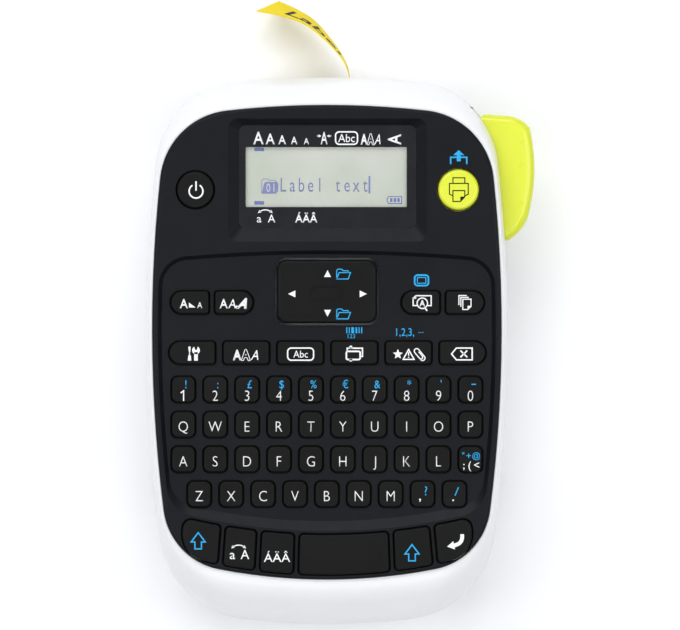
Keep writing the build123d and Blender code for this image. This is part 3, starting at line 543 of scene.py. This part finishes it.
def letter_keys():
    """Letters, digits and second signs of the four rows."""
    white = {node: letter_row(node, letters) for node, letters in ROWS.items()}
    number_blue = second_signs("number_keys", "!:£$%€&*'", 0)
    last = 4.5 * LETTER_PITCH
    number_blue.stroke([(last + 0.3, 1.6), (last + 1.7, 1.6)], 0.32)
    number_blue.finish("key_plastic")

    home_blue = key_marks("home_letter_keys", BLUE_INK, "blue")
    home_blue.text("\"", (last - 2.2, 0.1), 2.0, width=0.8)
    home_blue.text("+", (last - 0.55, 0.1), 2.0)
    home_blue.text("@", (last + 1.75, 0.3), 1.75)
    home_blue.finish("key_plastic")
    home = white["home_letter_keys"]
    home.text(";", (last - 2.0, -2.9), 2.3)
    home.text("(", (last - 0.2, -2.9), 2.3)
    home.text("<", (last + 1.9, -2.9), 2.3)

    lower_blue = key_marks("lower_letter_keys", BLUE_INK, "blue")
    comma, stop = 3 * LETTER_PITCH, 4 * LETTER_PITCH
    lower_blue.text("?", (comma + 1.05, -0.35), 2.7, width=LETTER_WIDTH)
    lower_blue.stroke([(stop + 0.15, -0.45), (stop + 1.2, 2.1)], 0.32)
    lower_blue.finish("key_plastic")
    lower = white["lower_letter_keys"]
    lower.text(",", (comma - 0.8, -1.9), 3.0)
    lower.text(".", (stop - 0.4, -2.1), 3.0)
    for marks in white.values():
        marks.finish("key_plastic")


# ---------------------------------------------------------------- icons on the keys


def arrow_head(tip, direction, length, width):
    """Triangle with its point at tip."""
    ahead = Vector(direction).normalized()
    side = Vector((-ahead.y, ahead.x)) * width / 2
    base = Vector(tip) - ahead * length
    return [tuple(tip), tuple(base + side), tuple(base - side)]


def star(centre, radius):
    """Outline of a five-pointed star."""
    points = []
    for i in range(10):
        reach = radius if i % 2 == 0 else radius * 0.45
        angle = math.radians(90 + 36 * i)
        points.append((centre[0] + reach * math.cos(angle), centre[1] + reach * math.sin(angle)))
    return points


def outline_arrow():
    """Shift key's arrow, pointing up from a shaft."""
    half = [(1.0, -2.5), (1.0, -0.4), (2.15, -0.4), (0, 2.45)]
    return half + [(-x, y) for x, y in half[-2::-1]]


def case_sign(marks, x, y, cap):
    """Small and capital a under a two-headed bow."""
    marks.text("a", (x - 1.9, y), cap)
    marks.text("A", (x + 1.9, y), cap, width=0.95)
    bow_y = y + cap
    marks.stroke(arc((x, bow_y - 1.4), 2.85, 128, 52, 12), 0.32)
    marks.fill(arrow_head((x - 2.25, bow_y + 0.45), (-1, -0.8), 0.95, 1.0))
    marks.fill(arrow_head((x + 2.25, bow_y + 0.45), (1, -0.8), 0.95, 1.0))


def boxed_sign(marks, x, y, width, height, cap):
    """Three letters in a frame."""
    marks.stroke(rounded((x, y), width, height, 1.1), 0.42, closed=True)
    marks.text("Abc", (x, y - cap / 2), cap, width=0.92)


def style_sign(marks, x, y, cap, pitch, width):
    """Bold, outlined and slanted capitals."""
    marks.text("A", (x - pitch, y), cap, width=width, bold=0.035)
    marks.outlined("A", (x, y), cap, 0.2, width=width, bold=0.045)
    marks.text("A", (x + pitch, y), cap, width=width, shear=0.3)


def folder(marks, x, y, width=4.2):
    """Open folder drawn as a line."""
    w = width / 2
    back = [(x - w, y - 1.5), (x - w, y + 1.15), (x - w + 0.4, y + 1.5), (x - 0.6, y + 1.5),
            (x - 0.1, y + 1.0), (x + w - 0.7, y + 1.0), (x + w - 0.7, y + 0.45)]
    front = [(x - w, y - 1.5), (x - w + 0.75, y + 0.45), (x + w, y + 0.45), (x + w - 0.7, y - 1.5)]
    marks.stroke(back, 0.3)
    marks.stroke(front, 0.3, closed=True)


def power_sign():
    marks = key_marks("power_key", WHITE_INK, "white")
    marks.stroke(arc((0.25, -0.45), 2.1, 122, 418, 36), 0.46)
    marks.stroke([(0.25, -0.3), (0.25, 2.6)], 0.46)
    marks.finish("key_plastic")


def printer_sign():
    """Printer with a sheet below it."""
    marks = key_marks("print_key", DARK_INK, "dark")
    line = 0.34
    marks.stroke([(-1.7, 1.9), (-1.7, 3.6), (1.9, 3.6), (1.9, 1.9)], line)
    body = [(-1.7, -1.9), (-2.75, -1.4), (-2.75, 1.9), (2.95, 1.9), (2.95, -1.4), (1.9, -1.9)]
    marks.stroke(body, line)
    sheet = [(-1.7, -0.3), (1.9, -0.3), (1.9, -2.2), (0.6, -3.6), (-1.7, -3.6)]
    marks.stroke(sheet, line, closed=True)
    marks.fill([(1.9, -2.1), (0.55, -3.6), (0.55, -2.1)])
    marks.finish("lime_plastic")


def size_and_font_signs():
    marks = key_marks("size_key", WHITE_INK, "white")
    marks.text("A", (-1.8, -1.75), 2.75, width=0.88, bold=0.015)
    marks.fill([(-0.25, -0.05), (-0.25, -1.55), (1.75, -1.55)])
    marks.text("A", (3.05, -1.7), 1.75, width=0.88, bold=0.01)
    marks.finish("key_plastic")
    marks = key_marks("font_key", WHITE_INK, "white")
    marks.text("A", (-3.1, -1.75), 2.75, width=0.88, bold=0.015)
    marks.text("A", (-0.55, -1.75), 2.75, width=0.85, shear=0.15)
    marks.text("A", (2.3, -1.75), 2.9, width=0.95, shear=0.5, bold=0.045)
    marks.fill(arc((0.9, -1.35), 0.42, 0, 342, 18))
    marks.finish("key_plastic")


def preview_sign():
    """Lens with a letter over a label."""
    marks = key_marks("preview_key", WHITE_INK, "white")
    line = 0.36
    label_line = [(-1.1, -0.95), (-2.3, -0.95), (-2.3, 1.3), (-1.5, 2.05), (3.2, 2.05),
                  (3.2, -0.95), (2.1, -0.95)]
    marks.stroke(label_line, line)
    marks.stroke([(-1.5, 2.05), (-1.5, 1.3), (-2.3, 1.3)], 0.3)
    marks.stroke(arc((0.5, -0.25), 1.6, 0, 345, 24), line, closed=True)
    marks.text("A", (0.5, -1.15), 1.8, width=0.9, bold=0.03)
    marks.stroke([(1.35, -1.65), (1.95, -2.55)], 0.45)
    marks.finish("key_plastic")


def copies_sign():
    """Three sheets, one behind another."""
    marks = key_marks("copies_key", WHITE_INK, "white")
    line = 0.32
    for step in (0, 1):
        x, y = -1.85 + 0.6 * step, 2.1 - 0.55 * step
        marks.stroke([(x, y - 2.9), (x, y), (x + 2.4, y)], line)
    sheet = [(-0.65, 1.0), (1.85, 1.0), (1.85, -1.2), (0.9, -2.15), (-0.65, -2.15)]
    marks.stroke(sheet, line, closed=True)
    marks.fill([(1.85, -1.0), (0.8, -1.0), (0.8, -2.15)])
    marks.finish("key_plastic")


def settings_sign():
    """Screwdriver beside a wrench."""
    marks = key_marks("settings_key", WHITE_INK, "white")
    marks.fill([(-1.15, 1.6), (-0.95, 0.3), (-0.55, 0.3), (-0.4, 1.6)])
    marks.fill([(-1.15, 1.6), (-0.4, 1.6), (-0.55, 1.95), (-1.0, 1.95)])
    marks.stroke([(-0.75, 0.35), (-0.75, -0.8)], 0.3)
    marks.fill([(-1.1, -0.7), (-0.4, -0.7), (-0.2, -2.4), (-1.3, -2.4)])
    jaw = arc((1.2, 0.75), 1.2, 65, -245, 22)
    gap = [(0.85, 1.1), (1.2, 0.75), (1.55, 1.1)]
    marks.fill(jaw + gap)
    marks.fill([(0.65, 0.2), (0.65, -2.4), (1.75, -2.4), (1.75, 0.2)])
    marks.finish("key_plastic")


def layout_sign():
    """Label in front of another."""
    marks = key_marks("layout_key", WHITE_INK, "white")
    marks.stroke(rounded((-0.35, -0.8), 4.2, 2.5, 0.5), 0.5, closed=True)
    marks.stroke([(-2.2, 0.4), (-2.2, 1.4), (2.45, 1.4), (2.45, -1.1), (1.9, -1.1)], 0.42)
    marks.fill(arc((-1.1, 1.7), 0.5, 0, 342, 18))
    marks.fill(arc((-1.1, -2.2), 0.5, 0, 342, 18))
    marks.finish("key_plastic")


def symbol_sign():
    """Star, warning triangle and paper clip."""
    marks = key_marks("symbol_key", WHITE_INK, "white")
    marks.fill(star((-3.25, -0.45), 1.6))
    marks.stroke([(-1.65, -2.0), (1.7, -2.0), (0.02, 1.0)], 0.38, closed=True)
    marks.stroke([(0.02, 0.2), (0.02, -0.9)], 0.36)
    marks.fill(arc((0.02, -1.35), 0.2, 0, 330, 11))
    turn = Matrix.Rotation(math.radians(40), 2)
    clip = arc((0, -1.45), 0.75, 180, 360, 8) + arc((0, 1.35), 0.75, 0, 180, 8)
    clip += arc((-0.2, -0.9), 0.55, 180, 360, 8) + [(0.35, 0.8)]
    marks.stroke([tuple(turn @ Vector(p) + Vector((3.35, -0.5))) for p in clip], 0.34)
    marks.finish("key_plastic")


def delete_sign():
    marks = key_marks("delete_key", WHITE_INK, "white")
    tag = [(-3.4, -0.35), (-1.9, 1.45), (2.9, 1.45), (2.9, -2.15), (-1.9, -2.15)]
    marks.stroke(tag, 0.42, closed=True)
    for lean in (-1, 1):
        marks.stroke([(0.35 - lean * 1.05, -1.35), (0.35 + lean * 1.05, 0.7)], 0.46)
    marks.finish("key_plastic")


def pad_signs():
    """Four triangles and two folders on the navigation pad."""
    white = key_marks("navigation_pad", WHITE_INK, "white")
    blue = key_marks("navigation_pad", BLUE_INK, "blue")
    for marks in (white, blue):
        marks.body = "pad"
    for y, direction in ((6.5, (0, 1)), (-7.7, (0, -1))):
        white.fill(arrow_head((0.2, y), direction, 2.1, 2.1))
    for x, direction in ((-11.8, (-1, 0)), (12.2, (1, 0))):
        white.fill(arrow_head((x, -0.75), direction, 2.2, 2.1))
    folder(blue, 5.1, 5.3)
    folder(blue, 5.1, -6.85)
    white.finish("key_plastic")
    blue.finish("key_plastic")


def bottom_row_signs():
    for node, at in (("left_shift_key", (-0.9, 0.2)), ("right_shift_key", (-0.3, -1.3))):
        marks = key_marks(node, BLUE_INK, "blue")
        marks.at = (marks.at[0] + at[0], marks.at[1] + at[1])
        marks.stroke(outline_arrow(), 0.4, closed=True)
        marks.finish("key_plastic")
    marks = key_marks("case_key", WHITE_INK, "white")
    case_sign(marks, -0.3, -3.3, 2.8)
    marks.finish("key_plastic")
    marks = key_marks("accent_key", WHITE_INK, "white")
    marks.text("ÁÄÂ", (0.0, -2.85), 2.6, width=1.05)
    marks.finish("key_plastic")
    marks = key_marks("enter_key", WHITE_INK, "white")
    bend = [(2.65, 2.1)] + arc((0.25, 1.2), 2.4, 0, -70, 8) + [(0.2, -1.35)]
    marks.stroke(bend, 1.15)
    marks.fill(arrow_head((-1.95, -1.7), (-1, -0.2), 2.2, 2.6))
    marks.finish("key_plastic")


def other_key_signs():
    marks = key_marks("style_key", WHITE_INK, "white")
    style_sign(marks, -0.1, -2.15, 2.95, 2.65, 0.8)
    marks.finish("key_plastic")
    marks = key_marks("frame_key", WHITE_INK, "white")
    boxed_sign(marks, 0.1, -0.4, 7.9, 3.7, 2.1)
    marks.finish("key_plastic")


# ---------------------------------------------------------------- face and display

# Corners of the display's visible area
SCREEN_LOW = (-24.8, 41.3)
SCREEN_HIGH = (24.4, 59.6)


def face_signs():
    """Blue icons printed on the face, each for the key below it."""
    arrow = (40.2, 56.2)
    marks = Marks("face_upper_marks", "housing", BLUE_INK, height_at("face_panel", *arrow), arrow)
    marks.fill([(0, 2.4), (-1.7, 0.85), (1.7, 0.85)])
    marks.fill([(-0.6, 0.9), (-0.6, -1.0), (0.6, -1.0), (0.6, 0.9)])
    for side in (-1, 1):
        marks.stroke([(side * 0.6, 0.2), (side * 2.45, 0.2), (side * 2.45, -1.9)], 0.45)
    marks.finish("black_face")

    level = height_at("face_panel", 25.3, 3.0)
    marks = Marks("face_dish_marks", "housing", BLUE_INK, level)
    marks.stroke(rounded((28.9, 18.9), 4.2, 3.2, 0.9), 0.5, closed=True)
    marks.stroke(rounded((28.9, 18.9), 2.6, 1.8, 0.2), 0.3, closed=True)
    marks.text("1,2,3,", (23.9, 1.95), 2.3, width=0.85)
    for i in range(3):
        marks.fill(arc((28.1 + 0.6 * i, 3.0), 0.16, 0, 330, 11))
    bars = (0.35, 0.3, 0.85, 0.5, 0.3, 0.35)
    x = 5.9
    for width in bars:
        marks.fill([(x, 2.75), (x + width, 2.75), (x + width, 4.6), (x, 4.6)])
        x += width + 0.45
    marks.text("123", (7.5, 1.25), 1.25, width=1.0)
    marks.finish("black_face")


def slab(name, outline, low, high, material, hole=None, bevel=0.15):
    """Flat plate with an outline and maybe a hole, its upper edges eased."""
    shape = bmesh.new()
    if hole is None:
        shape.faces.new([shape.verts.new((x, y, low)) for x, y in outline])
    else:
        outer = [shape.verts.new((x, y, low)) for x, y in outline]
        inner = [shape.verts.new((x, y, low)) for x, y in hole]
        count = len(outer)
        for i in range(count):
            shape.faces.new((outer[i], outer[(i + 1) % count], inner[(i + 1) % count], inner[i]))
    face_up(shape)
    raised(shape, high - low)
    sharp = 1.0
    rim = []
    for edge in shape.edges:
        level = all(abs(v.co.z - high) < 1e-6 for v in edge.verts)
        if level and edge.is_manifold and abs(edge.calc_face_angle(0)) > sharp:
            rim.append(edge)
    bmesh.ops.bevel(shape, geom=rim, offset=bevel, segments=2, affect="EDGES")
    shape.transform(Matrix.Scale(MM, 4))
    return link_mesh(name, shape, material)


def window():
    """Clear pane in a black surround, which carries the legends of the display's marks."""
    low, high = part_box("display_window")
    bottom, top = low.z / MM, high.z / MM
    centre = ((low.x + high.x) / 2 / MM, (low.y + high.y) / 2 / MM)
    size = ((high.x - low.x) / MM, (high.y - low.y) / MM)
    (left, below), (right, above) = SCREEN_LOW, SCREEN_HIGH
    screen = ((left + right) / 2, (below + above) / 2), right - left, above - below
    outline = rounded(centre, *size, 2.0)
    opening = rounded(*screen, 0.3)
    glass = rounded(*screen, 0.29)
    surround = slab("window_surround", outline, bottom, top, GLOSS_BLACK, opening, 0.1)
    pane = slab("window_pane", glass, bottom + 0.1, top, CLEAR, bevel=0.02)
    for piece in (surround, pane):
        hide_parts("display_window")
        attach(piece, "housing")

    marks = Marks("window_marks", "housing", WHITE_INK, top)
    line_y = 60.5
    for x, cap in ((-20.9, 3.7), (-17.3, 3.2), (-13.65, 2.7), (-10.0, 2.25), (-6.25, 1.85)):
        marks.text("A", (x, line_y), cap, width=0.85, bold=0.012)
    marks.text("A", (-0.85, line_y), 3.7, width=0.55, bold=0.012)
    marks.fill(arrow_head((-1.65, 63.0), (1, 0), 0.9, 0.9))
    marks.fill(arrow_head((-0.05, 63.0), (-1, 0), 0.9, 0.9))
    marks.stroke([(-3.0, 63.0), (-2.4, 63.0)], 0.3)
    marks.stroke([(0.7, 63.0), (1.3, 63.0)], 0.3)
    boxed_sign(marks, 6.0, 62.35, 6.7, 3.8, 2.4)
    style_sign(marks, 13.4, line_y, 3.0, 2.05, 0.62)
    marks.text("A", (22.6, 61.95), 3.9, turn=90, width=0.8, bold=0.015)
    case_sign(marks, -18.8, 36.6, 2.4)
    marks.text("ÁÄÂ", (-6.3, 36.6), 2.4, width=0.95, bold=0.015)
    marks.finish("window_glass")


def display():
    """What the display shows: cursor marks, a file number, a line of text and the battery state."""
    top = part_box("lcd_module")[1].z / MM
    dark = Marks("display_cursor_marks", "housing", LCD_MARK, top)
    for y in (58.95, 42.6):
        dark.fill([(-22.2, y - 0.55), (-19.2, y - 0.55), (-19.2, y + 0.55), (-22.2, y + 0.55)])
    cell = [(18.9, 42.4), (22.85, 42.4), (22.85, 44.5), (18.9, 44.5), (18.4, 43.9), (18.4, 43.0)]
    dark.stroke(cell, 0.28, closed=True)
    for x in (19.7, 20.8, 21.9):
        dark.fill([(x - 0.36, 42.85), (x + 0.36, 42.85), (x + 0.36, 44.05), (x - 0.36, 44.05)])
    dark.finish("lcd_panel")

    soft = Marks("display_text_marks", "housing", LCD_INK, top)
    folder_back = [(-19.9, 45.4), (-19.9, 49.3), (-19.4, 49.9), (-18.0, 49.9), (-17.7, 49.5),
                   (-15.9, 49.5), (-14.9, 48.4)]
    folder_front = [(-19.9, 45.4), (-15.6, 45.4), (-14.9, 46.2), (-14.9, 48.4), (-15.4, 49.0),
                    (-18.9, 49.0), (-19.3, 48.2)]
    soft.stroke(folder_back, 0.22)
    soft.fill(folder_front)
    pitch = 2.78
    for i, letter in enumerate("Label text"):
        if letter != " ":
            soft.text(letter, (-13.3 + pitch * i, 46.05), 4.15, width=0.68, bold=0.002)
    soft.stroke([(13.0, 45.5), (13.0, 50.8)], 0.6)
    soft.finish("lcd_panel")

    number = Marks("display_number_marks", "housing", LCD_BODY, top + INK)
    for x, digit in ((-17.9, "0"), (-16.2, "1")):
        number.text(digit, (x, 46.0), 2.5, width=0.75)
    number.finish("lcd_panel")


# ---------------------------------------------------------------- label

# Centre line of the free label; the third figure is its height from the slot's middle
LABEL_PATH = [
    (6.9, 81.9, 0),
    (4.9, 88.4, 0),
    (-2.3, 97.0, -1.1),
    (-8.1, 101.3, -3.2),
    (-18.8, 105.5, -8.9),
]
LABEL_ENDS = [(0, 1, 0), (-0.957, 0.29, -0.62)]
LABEL_TWIST = 28.0
LABEL_WIDTH = 12.0
LABEL_THICK = 0.24
LABEL_STEPS = 14

# The tape stops this far from the middle of the blade, on both sides
BLADE_GAP = 0.6

# The print starts here from the free end, and is cut into short lengths so that it can bend
PRINT_START = 8.0
PRINT_CAP = 5.2
PRINT_CUT = 0.7


def free_label():
    """Smooth centre line of the label outside the slot."""
    points = [Vector(p) for p in LABEL_PATH]
    ways = [Vector(LABEL_ENDS[0]).normalized()]
    for i in range(1, len(points) - 1):
        ways.append((points[i + 1] - points[i - 1]).normalized())
    ways.append(Vector(LABEL_ENDS[1]).normalized())
    line = []
    for i in range(len(points) - 1):
        a, b = points[i], points[i + 1]
        chord = (b - a).length
        for step in range(LABEL_STEPS + (i == len(points) - 2)):
            t = step / LABEL_STEPS
            h = (2 * t**3 - 3 * t**2 + 1, t**3 - 2 * t**2 + t, -2 * t**3 + 3 * t**2, t**3 - t**2)
            bend = ways[i] * h[1] + ways[i + 1] * h[3]
            line.append(a * h[0] + b * h[2] + bend * chord)
    return line


def running_length(line):
    """Length of a line from its start to each of its points."""
    lengths = [0.0]
    for a, b in zip(line, line[1:]):
        lengths.append(lengths[-1] + (b - a).length)
    return lengths


def label_frames(line, twisted):
    """For each point of a line: place, direction across the tape, and the printed side."""
    lengths = running_length(line)
    slot_middle = Vector((0, 0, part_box("label_tape")[1].z / MM - LABEL_WIDTH / 2))
    frames = []
    for i, point in enumerate(line):
        ahead = (line[min(i + 1, len(line) - 1)] - line[max(i - 1, 0)]).normalized()
        share = lengths[i] / lengths[-1] if twisted else 0.0
        twist = math.radians(LABEL_TWIST * share)
        level = Vector((ahead.y, -ahead.x, 0)).normalized()
        across = level * math.sin(twist) + ahead.cross(level) * math.cos(twist)
        frames.append((point + slot_middle, across, across.cross(ahead)))
    return frames


def strip(shape, frames):
    """Closed strip of tape through the frames, added to shape."""
    cells = 6
    rings = []
    for place, across, side in frames:
        ring = []
        for face, order in ((1, range(cells + 1)), (-1, range(cells, -1, -1))):
            for cell in order:
                v = (cell / cells - 0.5) * LABEL_WIDTH
                ring.append(shape.verts.new(place + across * v + side * face * LABEL_THICK / 2))
        rings.append(ring)
    for a, b in zip(rings, rings[1:]):
        for i in range(len(a)):
            j = (i + 1) % len(a)
            shape.faces.new((a[i], a[j], b[j], b[i]))
    for ring in (rings[0], rings[-1]):
        for cell in range(cells):
            shape.faces.new((ring[cell], ring[cell + 1], ring[-cell - 2], ring[-cell - 1]))


def straight(points, step=4.0):
    """Points every few millimetres along a polyline."""
    points = [Vector(p).to_3d() for p in points]
    line = points[:1]
    for a, b in zip(points, points[1:]):
        count = max(1, round((b - a).length / step))
        line += [a.lerp(b, (i + 1) / count) for i in range(count)]
    return line


def place_print(letters, lengths, frames):
    """Lays flat letters on the free label; their x is the distance from its end."""
    for vert in letters.verts:
        along = min(max(lengths[-1] - vert.co.x, 0), lengths[-1] - 1e-6)
        i = next(k for k in range(len(lengths) - 1) if lengths[k + 1] > along)
        share = (along - lengths[i]) / (lengths[i + 1] - lengths[i])
        place, across, side = (a.lerp(b, share) for a, b in zip(frames[i], frames[i + 1]))
        vert.co = place + across * vert.co.y + side * (LABEL_THICK / 2 + vert.co.z)


def label():
    """Printed label that curls away from its slot, and the tape that leads to it from the roll."""
    roll_low, roll_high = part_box("tape_roll")
    blade_low, blade_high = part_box("cutter_blade")
    cut = (blade_low.y + blade_high.y) / 2 / MM
    slot_x = LABEL_PATH[0][0]
    roll_x = (roll_low.x + roll_high.x) / 2 / MM
    guide = [(roll_x + 3, 16.2), (slot_x - 1.4, 10.6), (slot_x, 13.0)]
    web = guide + [(slot_x, cut - BLADE_GAP)]
    outside = straight([(slot_x, cut + BLADE_GAP), LABEL_PATH[0]])[:-1]
    free = free_label()
    frames = label_frames(free, True)
    shape = bmesh.new()
    strip(shape, label_frames(straight(web), False))
    strip(shape, label_frames(outside + free[:1], False)[:-1] + frames)
    bmesh.ops.recalc_face_normals(shape, faces=shape.faces[:])
    shape.transform(Matrix.Scale(MM, 4))
    tape = link_mesh("printed_label", shape, TAPE_FILM)
    tape.data.shade_smooth()
    tape.data.set_sharp_from_angle(angle=math.radians(40))
    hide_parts("label_tape")
    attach(tape, "housing")

    lengths = running_length(free)
    letters = glyphs("Label text", width=1.45, bold=0.02)
    start = min(v.co.x for v in letters.verts)
    for vert in letters.verts:
        vert.co.x = (vert.co.x - start) * PRINT_CAP + PRINT_START
        vert.co.y = (vert.co.y - 0.5) * PRINT_CAP
    cuts = int(lengths[-1] / PRINT_CUT)
    for i in range(1, cuts + 1):
        everything = letters.verts[:] + letters.edges[:] + letters.faces[:]
        bmesh.ops.bisect_plane(letters, geom=everything, plane_co=(i * PRINT_CUT, 0, 0),
                               plane_no=(1, 0, 0), clear_outer=i == cuts)
    raised(letters, INK)
    place_print(letters, lengths, frames)
    letters.transform(Matrix.Scale(MM, 4))
    ink = link_mesh("label_lettering", letters, TAPE_INK)
    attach(ink, "housing")


letter_keys()
power_sign()
printer_sign()
size_and_font_signs()
preview_sign()
copies_sign()
settings_sign()
layout_sign()
symbol_sign()
delete_sign()
pad_signs()
bottom_row_signs()
other_key_signs()
face_signs()
window()
display()
label()


# ---------------------------------------------------------------- floor, light and camera

# In metres, apart from the sky's strength and the sensor's width, which is in millimetres
FLOOR_SIZE = 4.0
FLOOR_GAP = 0.0005
SKY_STRENGTH = 0.28
CAMERA_HEIGHT = 1.2
CAMERA_LOWERED = 0.00169
FRAME_WIDTH = 0.2073
SENSOR = 36.0


def floor():
    """Plain floor just below the object."""
    shape = bmesh.new()
    bmesh.ops.create_grid(shape, x_segments=8, y_segments=8, size=FLOOR_SIZE / 2)
    shape.transform(Matrix.Translation((0, 0, cad_low.z - FLOOR_GAP)))
    link_mesh("floor", shape, floor_paper())


def softbox(name, place, size, watts, colour):
    """Area light aimed at the frame's origin."""
    light = bpy.data.lights.new(name, "AREA")
    light.shape = "RECTANGLE"
    light.size, light.size_y = size
    light.energy = watts
    light.color = colour
    lamp = bpy.data.objects.new(name, light)
    lamp.location = place
    lamp.rotation_euler = (-Vector(place)).to_track_quat("-Z", "Y").to_euler()
    bpy.context.scene.collection.objects.link(lamp)


def studio():
    """Soft boxes round the object and a dim even sky, so that flat black surfaces stay dark."""
    softbox("top_box", (-0.15, 0.75, 0.75), (1.1, 0.5), 6.0, (1.0, 1.0, 1.0))
    softbox("left_box", (-0.62, -0.05, 0.95), (0.4, 1.1), 3.8, (0.97, 0.98, 1.0))
    softbox("right_box", (0.62, 0.05, 0.95), (0.4, 1.1), 3.8, (0.98, 0.99, 1.0))
    softbox("front_box", (0.1, -0.6, 0.9), (1.1, 0.4), 3.2, (1.0, 1.0, 1.0))
    world = bpy.data.worlds.new("studio_world")
    bpy.context.scene.world = world
    world.use_nodes = True
    sky = world.node_tree.nodes["Background"]
    sky.inputs["Color"].default_value = (0.93, 0.96, 1.0, 1)
    sky.inputs["Strength"].default_value = SKY_STRENGTH


def camera():
    """Camera looking straight down at the face; FRAME_WIDTH is what it takes in there."""
    data = bpy.data.cameras.new("camera")
    data.sensor_width = SENSOR
    data.lens = SENSOR * CAMERA_HEIGHT / FRAME_WIDTH
    data.clip_end = 10
    eye = bpy.data.objects.new("camera", data)
    centre = (cad_low + cad_high) / 2
    face_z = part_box("face_panel")[1].z
    eye.location = (centre.x, centre.y - CAMERA_LOWERED, face_z + CAMERA_HEIGHT)
    bpy.context.scene.collection.objects.link(eye)
    bpy.context.scene.camera = eye


floor()
studio()
camera()
bpy.context.scene.view_settings.view_transform = "Standard"
